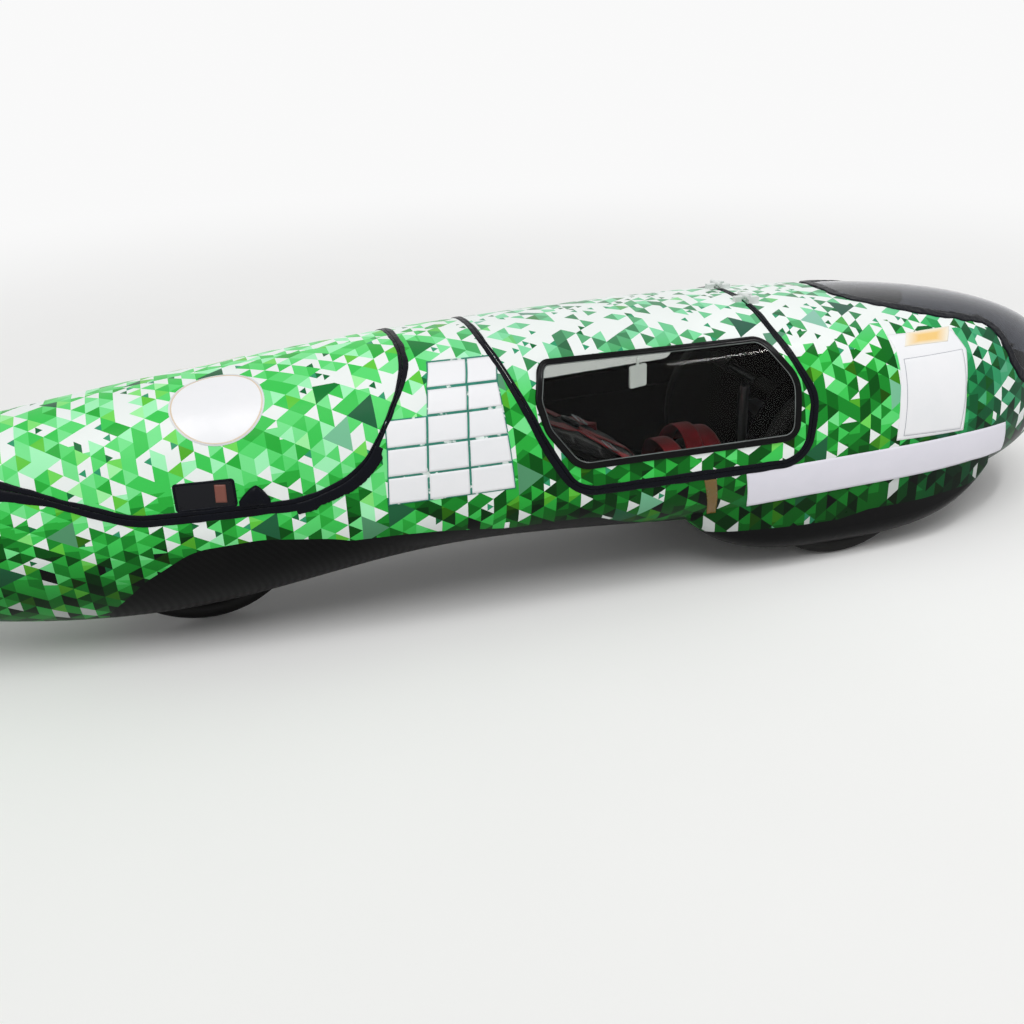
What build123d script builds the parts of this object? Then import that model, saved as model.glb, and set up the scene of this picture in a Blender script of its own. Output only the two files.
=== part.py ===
from build123d import *
import os

# Streamlined economy-run three-wheeler of velomobile form. Millimetres, +X nose, +Y left, +Z up,
# origin on the ground below the middle of the body.

# Body skin
wall = 8.0
wheelbase = 1500.0
rear_axle_x = -640.0
front_axle_x = rear_axle_x + wheelbase
# Cross sections of the body from tail to nose, one row each, columns:
# x, z_bottom, z_top, half_width, z_wide, handle_top, handle_bottom
stations = [
    (-1620.0, 330.0, 396.0, 9.0, 366.0, 0.58, 0.58),
    (-1530.0, 268.0, 438.0, 36.0, 358.0, 0.60, 0.60),
    (-1360.0, 180.0, 488.0, 82.0, 345.0, 0.60, 0.60),
    (-1020.0, 86.0, 542.0, 164.0, 330.0, 0.62, 0.62),
    (-640.0, 68.0, 579.0, 231.0, 320.0, 0.64, 0.64),
    (-190.0, 138.0, 611.0, 277.0, 310.0, 0.66, 0.66),
    (260.0, 128.0, 621.0, 301.0, 302.0, 0.67, 0.70),
    (640.0, 98.0, 615.0, 325.0, 300.0, 0.68, 0.72),
    (960.0, 92.0, 597.0, 328.0, 300.0, 0.67, 0.72),
    (1240.0, 96.0, 561.0, 300.0, 300.0, 0.65, 0.68),
    (1440.0, 136.0, 506.0, 218.0, 300.0, 0.62, 0.64),
    (1550.0, 200.0, 447.0, 132.0, 306.0, 0.60, 0.60),
    (1600.0, 254.0, 398.0, 70.0, 316.0, 0.58, 0.58),
    (1620.0, 296.0, 354.0, 26.0, 324.0, 0.58, 0.58),
]

# Wheels, all three alike
wheel_radius = 239.0
tyre_width = 45.0
bead_radius = 200.0
rim_depth = 16.0
rim_width = 26.0
disc_thickness = 3.0
disc_spread = 36.0
hub_radius = 24.0
hub_width = 64.0
hub_slope = 30.0
track = 500.0
stub_radius = 8.5
fit = 0.05
touch = 0.3

# Bulges of the hull round the front wheels, columns: x from the axle, half_width, z_bottom
fairing_rows = [
    (-430.0, 14.0, 170.0),
    (-270.0, 44.0, 66.0),
    (0.0, 56.0, 34.0),
    (270.0, 44.0, 62.0),
    (410.0, 14.0, 160.0),
]
fairing_top = 300.0
slot_gap = 8.0

# Seams, seen from the side, as corner points x, z and the radius at each inner corner
seam_gap = 5.0
tape_width = 13.0
tape_height = 2.5
above = 720.0
across = 420.0
door_corners = [(0.0, above), (7.0, 612.0), (96.0, 400.0), (158.0, 296.0),
                (700.0, 296.0), (722.0, 440.0), (662.0, 578.0), (664.0, above)]
door_radii = [150.0, 260.0, 85.0, 70.0, 80.0, 60.0]
lid_corners = [(-166.0, above), (-166.0, 596.0), (-312.0, 396.0), (-430.0, 356.0),
               (-760.0, 356.0), (-940.0, 425.0), (-1200.0, 500.0), (-1200.0, above)]
lid_radii = [110.0, 180.0, 200.0, 200.0, 200.0, 12.0]
canopy_corners = [(886.0, above), (886.0, 604.0), (1292.0, 514.0), (1322.0, 398.0),
                  (1420.0, 350.0), (1720.0, 330.0), (1720.0, above)]
canopy_radii = [14.0, 70.0, 110.0, 110.0, 20.0]
pan_corners = [(-872.0, 0.0), (-850.0, 124.0), (-764.0, 212.0), (-660.0, 276.0), (-520.0, 284.0),
               (-370.0, 264.0), (-200.0, 206.0), (20.0, 168.0), (360.0, 150.0), (420.0, 0.0)]
pan_radii = [60.0, 120.0, 140.0, 200.0, 300.0, 300.0, 300.0, 20.0]
window_corners = [(84.0, 500.0), (108.0, 567.0), (632.0, 563.0), (690.0, 480.0),
                  (676.0, 352.0), (160.0, 350.0), (96.0, 438.0)]
window_radii = [40.0, 30.0, 50.0, 70.0, 34.0, 60.0, 60.0]
pane = 4.0
trim_outer = 5.0
trim_inner = 9.0
trim_height = 4.0

# Small fittings on the skin
panel_x0 = -675.0
panel_x1 = -560.0
panel_z0 = 368.0
panel_z1 = 420.0
latch_x = -531.0
latch_length = 34.0
latch_z0 = 364.0
latch_z1 = 398.0
latch_height = 9.0
door_hinge_spread = 70.0
lid_hinge_spread = 36.0
hinge_barrel = 5.0
hinge_pin = 2.5
hinge_knuckle = 16.0
hinge_leaf = 26.0
hinge_leaf_depth = 34.0
door_hinge_x = 666.0
lid_hinge_x = -1206.0
hinge_lift = 9.0
hinge_plate = 5.0
hinge_foot = 10.0

# Inside
floor_z = 150.0
floor_thickness = 6.0
floor_x1 = 1330.0
floor_half_width = 150.0
bulkhead_x = -66.0
bulkhead_thickness = 12.0
foot_plate_height = 190.0
foot_plate_thickness = 6.0
seat_half_width = 160.0
seat_thickness = 5.0
seat_top_z = 470.0
seat_hip_x = 500.0
seat_thigh_x = 560.0
seat_front_x = 665.0
seat_front_rise = 42.0
seat_bend = 60.0
cushion_half_width = 145.0
cushion_thickness = 28.0
cushion_margin = 34.0
cushion_front_margin = 6.0
headrest_height = 84.0
headrest_width = 190.0
headrest_thickness = 45.0
headrest_gap = 6.0
strap_width = 46.0
strap_thickness = 3.0
strap_spread = 85.0
buckle_radius = 26.0
buckle_thickness = 14.0
buckle_place = 300.0
beam_size = 30.0
stub_end = 4.0
guard_y = 196.0
guard_thickness = 4.0
column_x = 720.0
column_radius = 11.0
column_bore = 8.0
column_foot = 60.0
column_foot_height = 12.0
column_top = 372.0
bar_z = 402.0
bar_radius = 10.0
bar_half_length = 165.0
grip_length = 95.0
grip_radius = 15.0
mirror_x = 332.0
mirror_z = 512.0
mirror_y = 212.0
mirror_length = 46.0
mirror_height = 50.0
mirror_corner = 5.0
mirror_thickness = 5.0
mirror_turn = 15.0
mirror_stalk = 3.0

# Tail compartment
steer_offset = 60.0
steer_limit = 12.0
steer_x = rear_axle_x + steer_offset
stem_radius = 12.0
head_radius = 20.0
crown_gap = 8.0
crown_thickness = 14.0
crown_reach = 24.0
stem_end = 4.0
blade_thickness = 8.0
blade_gap = 52.0
blade_width = 44.0
rail_size = 20.0
rail_y = 95.0
rail_z = 508.0
head_plate_thickness = 14.0
head_plate_reach = 40.0
head_rise = 24.0
motor_radius = 70.0
motor_width = 46.0
tray_z = 160.0
tray_x0 = -400.0
battery_length = 210.0
battery_width = 170.0
battery_height = 120.0
battery_gap = 40.0
battery_corner = 8.0
eye_x = 1545.0
eye_root_z = 204.0
eye_hole = 9.0
eye_radius = 20.0
eye_thickness = 8.0

os.makedirs("parts", exist_ok=True)


def save(piece, name):
    piece.label = name
    export_step(piece, f"parts/{name}.step")


def body_solid(grow, rows=stations):
    # Four Bezier quarters a section, grown outward by the same amount all round
    with BuildPart() as made:
        for x, z_low, z_high, half_width, z_wide, k_top, k_low in rows:
            low = z_low - grow
            high = z_high + grow
            half = half_width + grow
            with BuildSketch(Plane.YZ.offset(x)):
                with BuildLine():
                    for side in (1, -1):
                        Bezier((0, high), (side * k_top * half, high),
                               (side * half, z_wide + k_top * (high - z_wide)), (side * half, z_wide))
                        Bezier((side * half, z_wide), (side * half, z_wide - k_low * (z_wide - low)),
                               (side * k_low * half, low), (0, low))
                make_face()
        loft()
    return made.part


def fairing_solid(shrink):
    # A U-shaped section lofted along each front wheel, mirrored to the other side
    middle = track / 2
    with BuildPart() as made:
        for x, half_width, z_low in fairing_rows:
            half = half_width - shrink
            low = z_low + shrink
            with BuildSketch(Plane.YZ.offset(front_axle_x + x)):
                with BuildLine():
                    Line((middle - half, fairing_top), (middle - half, low + half))
                    ThreePointArc((middle - half, low + half), (middle, low), (middle + half, low + half))
                    Line((middle + half, low + half), (middle + half, fairing_top))
                    Line((middle + half, fairing_top), (middle - half, fairing_top))
                make_face()
        loft()
        mirror(about=Plane.XZ)
    return made.part


def side_prism(corners, radii, grow=0.0, sides=(1, -1)):
    # The outline seen from the side, carried across the body; side 1 is the left half
    with BuildPart() as made:
        with BuildSketch(Plane.XZ) as outline:
            with BuildLine():
                if len(radii) == len(corners):
                    FilletPolyline(*corners, radius=radii, close=True)
                else:
                    run = FilletPolyline(*corners, radius=radii)
                    Line(run @ 1, run @ 0)
            make_face()
            if grow:
                offset(amount=grow, kind=Kind.INTERSECTION)
        for side in sides:
            extrude(outline.sketch, amount=-side * across)
    return made.part


def side_box(x0, x1, z0, z1, y0=-across, y1=across):
    block = Box(x1 - x0, y1 - y0, z1 - z0, mode=Mode.PRIVATE)
    return Pos((x0 + x1) / 2, (y0 + y1) / 2, (z0 + z1) / 2) * block


# Solids of the skin that every panel is cut from
outside = body_solid(0.0)
inside = body_solid(-wall, stations[1:-1])
room = body_solid(-wall - touch, stations[1:-1])
pane_inside = body_solid(-pane, stations[1:-1])
pane_room = body_solid(-pane - touch, stations[1:-1])
tape_outside = body_solid(tape_height)
trim_outside = body_solid(trim_height)
latch_outside = body_solid(latch_height)
fairings = fairing_solid(0.0)
fairing_rooms = fairing_solid(wall)

door_cut = side_prism(door_corners, door_radii, seam_gap / 2)
door_blank = side_prism(door_corners, door_radii, -seam_gap / 2)
door_band = side_prism(door_corners, door_radii, seam_gap / 2 + tape_width)
lid_cut = side_prism(lid_corners, lid_radii, seam_gap / 2)
lid_blank = side_prism(lid_corners, lid_radii, -seam_gap / 2)
lid_band = side_prism(lid_corners, lid_radii, seam_gap / 2 + tape_width)
canopy_cut = side_prism(canopy_corners, canopy_radii)
canopy_blank = side_prism(canopy_corners, canopy_radii, -touch)
canopy_band = side_prism(canopy_corners, canopy_radii, tape_width)
canopy_hole = side_prism(canopy_corners, canopy_radii, -tape_width)
pan_cut = side_prism(pan_corners, pan_radii)
window_cut = side_prism(window_corners, window_radii)
frame_band = side_prism(window_corners, window_radii, trim_outer)
frame_hole = side_prism(window_corners, window_radii, -trim_inner)
panel_cut = side_box(panel_x0, panel_x1, panel_z0, panel_z1, -across, 0.0)
panel_blank = side_box(panel_x0 + touch, panel_x1 - touch, panel_z0 + touch, panel_z1 - touch, -across, 0.0)

skin = outside - inside
with BuildPart() as hull_skin:
    add(outside)
    add(fairings)
    add(inside, mode=Mode.SUBTRACT)
    add(fairing_rooms, mode=Mode.SUBTRACT)

# Room that the front wheels need through the bottom of their bulges
with BuildPart() as wheel_slots:
    with BuildSketch(Plane.XZ.offset(-track / 2 - tyre_width / 2 - slot_gap)):
        with Locations((front_axle_x, wheel_radius)):
            Circle(wheel_radius + slot_gap)
        with Locations((front_axle_x, 1.5 * wheel_radius)):
            Rectangle(3 * wheel_radius, wheel_radius * 2, mode=Mode.SUBTRACT)
    extrude(amount=tyre_width + 2 * slot_gap)
    mirror(about=Plane.XZ)

with BuildPart() as hull:
    add(hull_skin.part)
    for cut in (door_cut, lid_cut, canopy_cut, pan_cut, wheel_slots.part):
        add(cut, mode=Mode.SUBTRACT)
save(hull.part, "hull")

# Black belly, open where the rear wheel swings
with BuildPart() as rear_room:
    with BuildSketch(Plane.XZ):
        with Locations((rear_axle_x, wheel_radius)):
            Circle(wheel_radius + slot_gap)
    extrude(amount=tyre_width / 2 + slot_gap, both=True)
swing = Axis((steer_x, 0, 0), (0, 0, 1))
with BuildPart() as belly_pan:
    add(skin)
    add(pan_cut, mode=Mode.INTERSECT)
    for share in (-1.0, -0.5, 0.0, 0.5, 1.0):
        add(rear_room.part.rotate(swing, share * steer_limit), mode=Mode.SUBTRACT)
save(belly_pan.part, "belly_pan")

with BuildPart() as nose_canopy:
    add(outside)
    add(pane_inside, mode=Mode.SUBTRACT)
    add(canopy_blank, mode=Mode.INTERSECT)
save(nose_canopy.part, "nose_canopy")

with BuildPart() as canopy_tape:
    add(tape_outside)
    add(outside, mode=Mode.SUBTRACT)
    add(canopy_band, mode=Mode.INTERSECT)
    add(canopy_hole, mode=Mode.SUBTRACT)
save(canopy_tape.part, "canopy_tape")

with BuildPart() as door:
    add(skin)
    add(door_blank, mode=Mode.INTERSECT)
    add(window_cut, mode=Mode.SUBTRACT)
save(door.part, "door")


def hinge_notch(axis_x, spread):
    # The tape stops short of the hinges, which sit on the bare skin
    half = 1.5 * hinge_knuckle + touch
    reach = hinge_leaf + touch
    with BuildPart() as notch:
        for y in (-spread, spread):
            add(side_box(axis_x - reach, axis_x + reach, fairing_top, above, y - half, y + half))
    return notch.part


door_notch = hinge_notch(door_hinge_x, door_hinge_spread)
lid_notch = hinge_notch(lid_hinge_x, lid_hinge_spread)
with BuildPart() as door_tape:
    add(tape_outside)
    add(outside, mode=Mode.SUBTRACT)
    add(door_band, mode=Mode.INTERSECT)
    add(door_cut, mode=Mode.SUBTRACT)
    add(door_notch, mode=Mode.SUBTRACT)
save(door_tape.part, "door_tape")

# Panes lie flush in the door, held by a raised black frame
for name, side in (("window_left", 1), ("window_right", -1)):
    window_blank = side_prism(window_corners, window_radii, -touch, (side,))
    with BuildPart() as window:
        add(outside)
        add(pane_inside, mode=Mode.SUBTRACT)
        add(window_blank, mode=Mode.INTERSECT)
    save(window.part, name)

with BuildPart() as window_frames:
    add(trim_outside)
    add(outside, mode=Mode.SUBTRACT)
    add(frame_band, mode=Mode.INTERSECT)
    add(frame_hole, mode=Mode.SUBTRACT)
save(window_frames.part, "window_frames")

with BuildPart() as tail_lid:
    add(skin)
    add(lid_blank, mode=Mode.INTERSECT)
    add(panel_cut, mode=Mode.SUBTRACT)
save(tail_lid.part, "tail_lid")

with BuildPart() as lid_tape:
    add(tape_outside)
    add(outside, mode=Mode.SUBTRACT)
    add(lid_band, mode=Mode.INTERSECT)
    add(lid_cut, mode=Mode.SUBTRACT)
    add(lid_notch, mode=Mode.SUBTRACT)
save(lid_tape.part, "lid_tape")

with BuildPart() as service_panel:
    add(skin)
    add(panel_blank, mode=Mode.INTERSECT)
save(service_panel.part, "service_panel")

with BuildPart() as lid_latches:
    add(latch_outside)
    add(outside, mode=Mode.SUBTRACT)
    add(side_box(latch_x - latch_length / 2, latch_x + latch_length / 2, latch_z0, latch_z1),
        mode=Mode.INTERSECT)
save(lid_latches.part, "lid_latches")


# Two small hinges across the top of a seam: fixed halves carry the pins, moving halves turn on them
def top_height(x):
    for row, ahead in zip(stations, stations[1:]):
        if row[0] <= x <= ahead[0]:
            share = (x - row[0]) / (ahead[0] - row[0])
            return row[2] + share * (ahead[2] - row[2])


def hinge_halves(axis_x, axis_z, fixed_side, spread):
    # Each leaf reaches down to the skin and is cut to its curve; a moving foot starts clear of the seam
    with BuildPart() as fixed:
        for y in (-spread, spread):
            for end in (-1, 1):
                with BuildSketch(Plane.XZ.offset(-y - end * hinge_knuckle)):
                    with Locations((axis_x, axis_z)):
                        Circle(hinge_barrel)
                    with Locations((axis_x + fixed_side * hinge_leaf / 2, axis_z - hinge_leaf_depth / 2)):
                        Rectangle(hinge_leaf, hinge_leaf_depth)
                extrude(amount=hinge_knuckle / 2, both=True)
            with BuildSketch(Plane.XZ.offset(-y)):
                with Locations((axis_x, axis_z)):
                    Circle(hinge_pin)
            extrude(amount=1.5 * hinge_knuckle, both=True)
        add(outside, mode=Mode.SUBTRACT)
    with BuildPart() as moving:
        for y in (-spread, spread):
            with BuildSketch(Plane.XZ.offset(-y)):
                with Locations((axis_x, axis_z)):
                    Circle(hinge_barrel)
                with Locations((axis_x - fixed_side * hinge_leaf / 2, axis_z - hinge_plate / 2)):
                    Rectangle(hinge_leaf, hinge_plate)
                foot_x = axis_x - fixed_side * (hinge_foot + hinge_leaf) / 2
                with Locations((foot_x, axis_z - hinge_leaf_depth / 2)):
                    Rectangle(hinge_leaf - hinge_foot, hinge_leaf_depth)
                with Locations((axis_x, axis_z)):
                    Circle(hinge_pin + fit, mode=Mode.SUBTRACT)
            extrude(amount=hinge_knuckle / 2 - touch, both=True)
        add(outside, mode=Mode.SUBTRACT)
    return fixed.part, moving.part


door_hinge_z = top_height(door_hinge_x) + hinge_lift
lid_hinge_z = top_height(lid_hinge_x) + hinge_lift
for hatch, hinge_x, hinge_z, fixed_side, spread in (
        ("door", door_hinge_x, door_hinge_z, 1, door_hinge_spread),
        ("lid", lid_hinge_x, lid_hinge_z, -1, lid_hinge_spread)):
    fixed_half, moving_half = hinge_halves(hinge_x, hinge_z, fixed_side, spread)
    save(fixed_half, f"{hatch}_hinge_fixed")
    save(moving_half, f"{hatch}_hinge_moving")


# Wheels: each a tyre and a solid disc wheel, turned about the axle
def wheel_plane(x, y):
    return Plane(origin=(x, y, wheel_radius), x_dir=(0, 1, 0), z_dir=(1, 0, 0))


def tyre_solid(x, y):
    with BuildPart() as tyre:
        with BuildSketch(wheel_plane(x, y)):
            with Locations((0, wheel_radius - tyre_width / 2)):
                Circle(tyre_width / 2)
            with Locations((0, bead_radius / 2)):
                Rectangle(2 * tyre_width, bead_radius, mode=Mode.SUBTRACT)
        revolve(axis=Axis((x, y, wheel_radius), (0, 1, 0)))
    return tyre.part


def disc_wheel(x, y, bore, hub_half):
    # Half section from the bore out to the bead seat, the disc thinning towards the rim
    lip = rim_width / 2
    foot = bead_radius - rim_depth
    hub_end = max(hub_radius, bore + disc_thickness)
    with BuildPart() as wheel:
        with BuildSketch(wheel_plane(x, y)):
            with BuildLine():
                Polyline((-hub_half, bore), (hub_half, bore), (hub_half, hub_end),
                         (disc_spread / 2, hub_end + hub_slope), (lip - disc_thickness, foot), (lip, foot),
                         (lip, bead_radius), (-lip, bead_radius),
                         (-lip, foot), (disc_thickness - lip, foot), (-disc_spread / 2, hub_end + hub_slope),
                         (-hub_half, hub_end), close=True)
            make_face()
        revolve(axis=Axis((x, y, wheel_radius), (0, 1, 0)))
    return wheel.part


for name, side in (("left", 1), ("right", -1)):
    save(tyre_solid(front_axle_x, side * track / 2), f"front_tyre_{name}")
    save(disc_wheel(front_axle_x, side * track / 2, stub_radius + fit, hub_width / 2), f"front_wheel_{name}")
save(tyre_solid(rear_axle_x, 0.0), "rear_tyre")
save(disc_wheel(rear_axle_x, 0.0, motor_radius, disc_spread / 2), "rear_wheel")

with BuildPart() as hub_motor:
    with BuildSketch(Plane.XZ):
        with Locations((rear_axle_x, wheel_radius)):
            Circle(motor_radius)
            Circle(stub_radius + fit, mode=Mode.SUBTRACT)
    extrude(amount=motor_width, both=True)
save(hub_motor.part, "hub_motor")

# Front beam under the knees with a stub axle at each end, and plates that keep legs off the wheels
with BuildPart() as front_beam:
    with BuildSketch(Plane.XZ):
        with Locations((front_axle_x, wheel_radius)):
            RectangleRounded(beam_size, beam_size, beam_size / 10)
    extrude(amount=guard_y, both=True)
    with BuildSketch(Plane.XZ):
        with Locations((front_axle_x, wheel_radius)):
            Circle(stub_radius)
    extrude(amount=track / 2 + hub_width / 2 + stub_end, both=True)
save(front_beam.part, "front_beam")

with BuildPart() as wheel_guards:
    for side in (1, -1):
        with BuildSketch(Plane.XZ.offset(-side * guard_y)):
            with Locations((front_axle_x, wheel_radius)):
                Circle(wheel_radius + 2 * slot_gap)
                Circle(stub_radius + touch, mode=Mode.SUBTRACT)
        extrude(amount=-side * guard_thickness)
    add(room, mode=Mode.INTERSECT)
save(wheel_guards.part, "wheel_guards")

# Bulkhead behind the driver, floor, foot plate and the tray in the tail
bulkhead_front = bulkhead_x + bulkhead_thickness / 2
bulkhead_back = bulkhead_x - bulkhead_thickness / 2
floor_top = floor_z + floor_thickness
tray_top = tray_z + floor_thickness
battery_front = bulkhead_back - battery_gap
flat_pieces = [
    ("bulkhead", (bulkhead_back, bulkhead_front, 0.0, above, -across, across)),
    ("floor", (bulkhead_front, floor_x1, floor_z, floor_top, -floor_half_width, floor_half_width)),
    ("foot_plate", (floor_x1, floor_x1 + foot_plate_thickness, floor_z, floor_z + foot_plate_height,
                    -floor_half_width, floor_half_width)),
    ("tail_tray", (tray_x0, bulkhead_back, tray_z, tray_top, -floor_half_width, floor_half_width)),
]
for name, box in flat_pieces:
    with BuildPart() as panel:
        add(side_box(*box))
        add(room, mode=Mode.INTERSECT)
    save(panel.part, name)

with BuildPart() as battery:
    add(side_box(battery_front - battery_length, battery_front, tray_top, tray_top + battery_height,
                 -battery_width / 2, battery_width / 2))
    fillet(battery.edges().filter_by(Axis.Z), battery_corner)
save(battery.part, "battery")

# Reclined seat, from the bulkhead down to the floor and up under the thighs
seat_low = floor_top + touch + seat_thickness
seat_line = [(bulkhead_front + seat_thickness, seat_top_z), (seat_hip_x, seat_low), (seat_thigh_x, seat_low),
             (seat_front_x, seat_low + seat_front_rise)]
with BuildPart() as seat:
    with BuildSketch(Plane.XZ):
        with BuildLine():
            run = FilletPolyline(*seat_line, radius=[seat_bend, seat_bend])
            offset(run, amount=seat_thickness, side=Side.RIGHT, closed=True)
        make_face()
    extrude(amount=seat_half_width, both=True)
save(seat.part, "seat")


def band(start, end, low, high):
    # Corners of a strip that lies between two heights above the line from start to end
    along = (Vector(*end) - Vector(*start)).normalized()
    up = Vector(-along.Y, along.X)
    if up.Y < 0:
        up = -up
    corners = [Vector(*start) + up * low, Vector(*end) + up * low,
               Vector(*end) + up * high, Vector(*start) + up * high]
    return [(corner.X, corner.Y) for corner in corners]


def along(start, end, margin_start, margin_end):
    # The same line shortened at both ends
    way = (Vector(*end) - Vector(*start)).normalized()
    first = Vector(*start) + way * margin_start
    last = Vector(*end) - way * margin_end
    return (first.X, first.Y), (last.X, last.Y)


def strip_solid(corners, y0, y1):
    with BuildPart() as strip:
        with BuildSketch(Plane.XZ.offset(-y1)):
            with BuildLine():
                Polyline(*corners, close=True)
            make_face()
        extrude(amount=y1 - y0)
    return strip.part


back_line = along(seat_line[0], seat_line[1], 2 * cushion_margin, 3 * cushion_margin)
base_line = along(seat_line[2], seat_line[3], cushion_margin, cushion_front_margin)
cushion_top = touch + cushion_thickness
strap_low = cushion_top + touch
save(strip_solid(band(*back_line, touch, cushion_top), -cushion_half_width, cushion_half_width), "back_cushion")
save(strip_solid(band(*base_line, touch, cushion_top), -cushion_half_width, cushion_half_width), "base_cushion")

headrest_low = seat_top_z + cushion_thickness + headrest_gap
with BuildPart() as headrest:
    add(side_box(bulkhead_front + touch, bulkhead_front + touch + headrest_thickness,
                 headrest_low, headrest_low + headrest_height, -headrest_width / 2, headrest_width / 2))
    add(room, mode=Mode.INTERSECT)
save(headrest.part, "headrest")

# Harness: two shoulder straps down the back cushion, joined by a flat buckle across them
strap_corners = band(*back_line, strap_low, strap_low + strap_thickness)
buckle_start, buckle_end = along(*back_line, buckle_place, 0.0)
buckle_line = (buckle_start, along(buckle_start, buckle_end, 2 * buckle_radius, 0.0)[0])
buckle_corners = band(*buckle_line, strap_low, strap_low + buckle_thickness)
straps = [strip_solid(strap_corners, middle - strap_width / 2, middle + strap_width / 2)
          for middle in (strap_spread, -strap_spread)]
buckle_half = strap_spread + strap_width / 4
buckle = strip_solid(buckle_corners, -buckle_half, buckle_half)
with BuildPart() as harness:
    add(straps)
    add(buckle)
save(harness.part, "harness")

# Steering bar on a short column; a cable under the floor leads to the rear fork
with BuildPart() as steering_column:
    with BuildSketch(Plane.XY.offset(floor_top)):
        with Locations((column_x, 0)):
            RectangleRounded(column_foot, column_foot, column_foot / 8)
    extrude(amount=column_foot_height)
    with BuildSketch(Plane.XY.offset(floor_top)):
        with Locations((column_x, 0)):
            Circle(column_radius)
    extrude(amount=column_top - floor_top)
    with BuildSketch(Plane.XY.offset(floor_top + column_foot_height)):
        with Locations((column_x, 0)):
            Circle(column_bore + fit)
    extrude(amount=column_top, mode=Mode.SUBTRACT)
save(steering_column.part, "steering_column")

with BuildPart() as steering_bar:
    with BuildSketch(Plane.XY.offset(floor_top + column_foot_height + touch)):
        with Locations((column_x, 0)):
            Circle(column_bore)
    extrude(amount=bar_z - floor_top - column_foot_height - touch)
    with BuildSketch(Plane.XZ):
        with Locations((column_x, bar_z)):
            Circle(bar_radius)
    extrude(amount=bar_half_length, both=True)
    for side in (1, -1):
        with BuildSketch(Plane.XZ.offset(-side * bar_half_length)):
            with Locations((column_x, bar_z)):
                Circle(grip_radius)
        extrude(amount=side * grip_length)
save(steering_bar.part, "steering_bar")

# Small mirrors hung inside the panes on upright stalks, each turned a little towards the driver
with BuildPart() as mirrors:
    for side in (1, -1):
        facing = Vector(-1, 0, 0).rotate(Axis.Z, side * (90.0 - mirror_turn))
        mirror_plane = Plane(origin=(mirror_x, side * mirror_y, mirror_z), x_dir=(0, 0, 1), z_dir=facing)
        with BuildSketch(mirror_plane):
            RectangleRounded(mirror_height, mirror_length, mirror_corner)
        extrude(amount=mirror_thickness / 2, both=True)
        with BuildSketch(Plane.XY.offset(mirror_z)):
            with Locations((mirror_x, side * mirror_y)):
                Circle(mirror_stalk)
        extrude(amount=across)
    add(pane_room, mode=Mode.INTERSECT)
save(mirrors.part, "mirrors")

# Tail frame: two rails from the bulkhead to the steering head, and the fork that turns in it
head_top = rail_z + rail_size + head_rise
with BuildPart() as tail_frame:
    for side in (1, -1):
        add(side_box(steer_x - head_plate_reach, bulkhead_back, rail_z, rail_z + rail_size,
                     side * rail_y - rail_size / 2, side * rail_y + rail_size / 2))
    add(side_box(steer_x - head_plate_reach, steer_x + head_plate_reach, rail_z, rail_z + head_plate_thickness,
                 -rail_y, rail_y))
    with BuildSketch(Plane.XY.offset(rail_z)):
        with Locations((steer_x, 0)):
            Circle(head_radius)
    extrude(amount=head_top - rail_z)
    with BuildSketch(Plane.XY.offset(rail_z)):
        with Locations((steer_x, 0)):
            Circle(stem_radius + fit)
    extrude(amount=head_top, mode=Mode.SUBTRACT)
save(tail_frame.part, "tail_frame")

crown_z = 2 * wheel_radius + crown_gap
blade_out = blade_gap + blade_thickness
with BuildPart() as rear_fork:
    for side in (1, -1):
        with BuildSketch(Plane.XZ.offset(-side * blade_gap)):
            with Locations((rear_axle_x, wheel_radius)):
                Circle(blade_width / 2)
            with Locations((steer_x, crown_z)):
                Circle(crown_thickness)
            make_hull()
        extrude(amount=-side * blade_thickness)
    add(side_box(steer_x - crown_reach, steer_x + crown_reach, crown_z, crown_z + crown_thickness,
                 -blade_out, blade_out))
    with BuildSketch(Plane.XY.offset(crown_z)):
        with Locations((steer_x, 0)):
            Circle(stem_radius)
    extrude(amount=head_top + stem_end - crown_z)
    with BuildSketch(Plane.XZ):
        with Locations((rear_axle_x, wheel_radius)):
            Circle(stub_radius)
    extrude(amount=blade_out, both=True)
save(rear_fork.part, "rear_fork")

# Tow eye under the nose
with BuildPart() as tow_eye:
    with BuildSketch(Plane.XZ):
        with Locations((eye_x, eye_root_z - eye_radius)):
            Circle(eye_radius)
            Rectangle(2 * eye_radius, 3 * eye_radius, align=(Align.CENTER, Align.MIN))
        with Locations((eye_x, eye_root_z - eye_radius)):
            Circle(eye_hole, mode=Mode.SUBTRACT)
    extrude(amount=eye_thickness / 2, both=True)
    add(outside, mode=Mode.SUBTRACT)
save(tow_eye.part, "tow_eye")
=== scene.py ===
import bmesh
import bpy
import math
import numpy as np
from mathutils import Matrix, Vector


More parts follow.
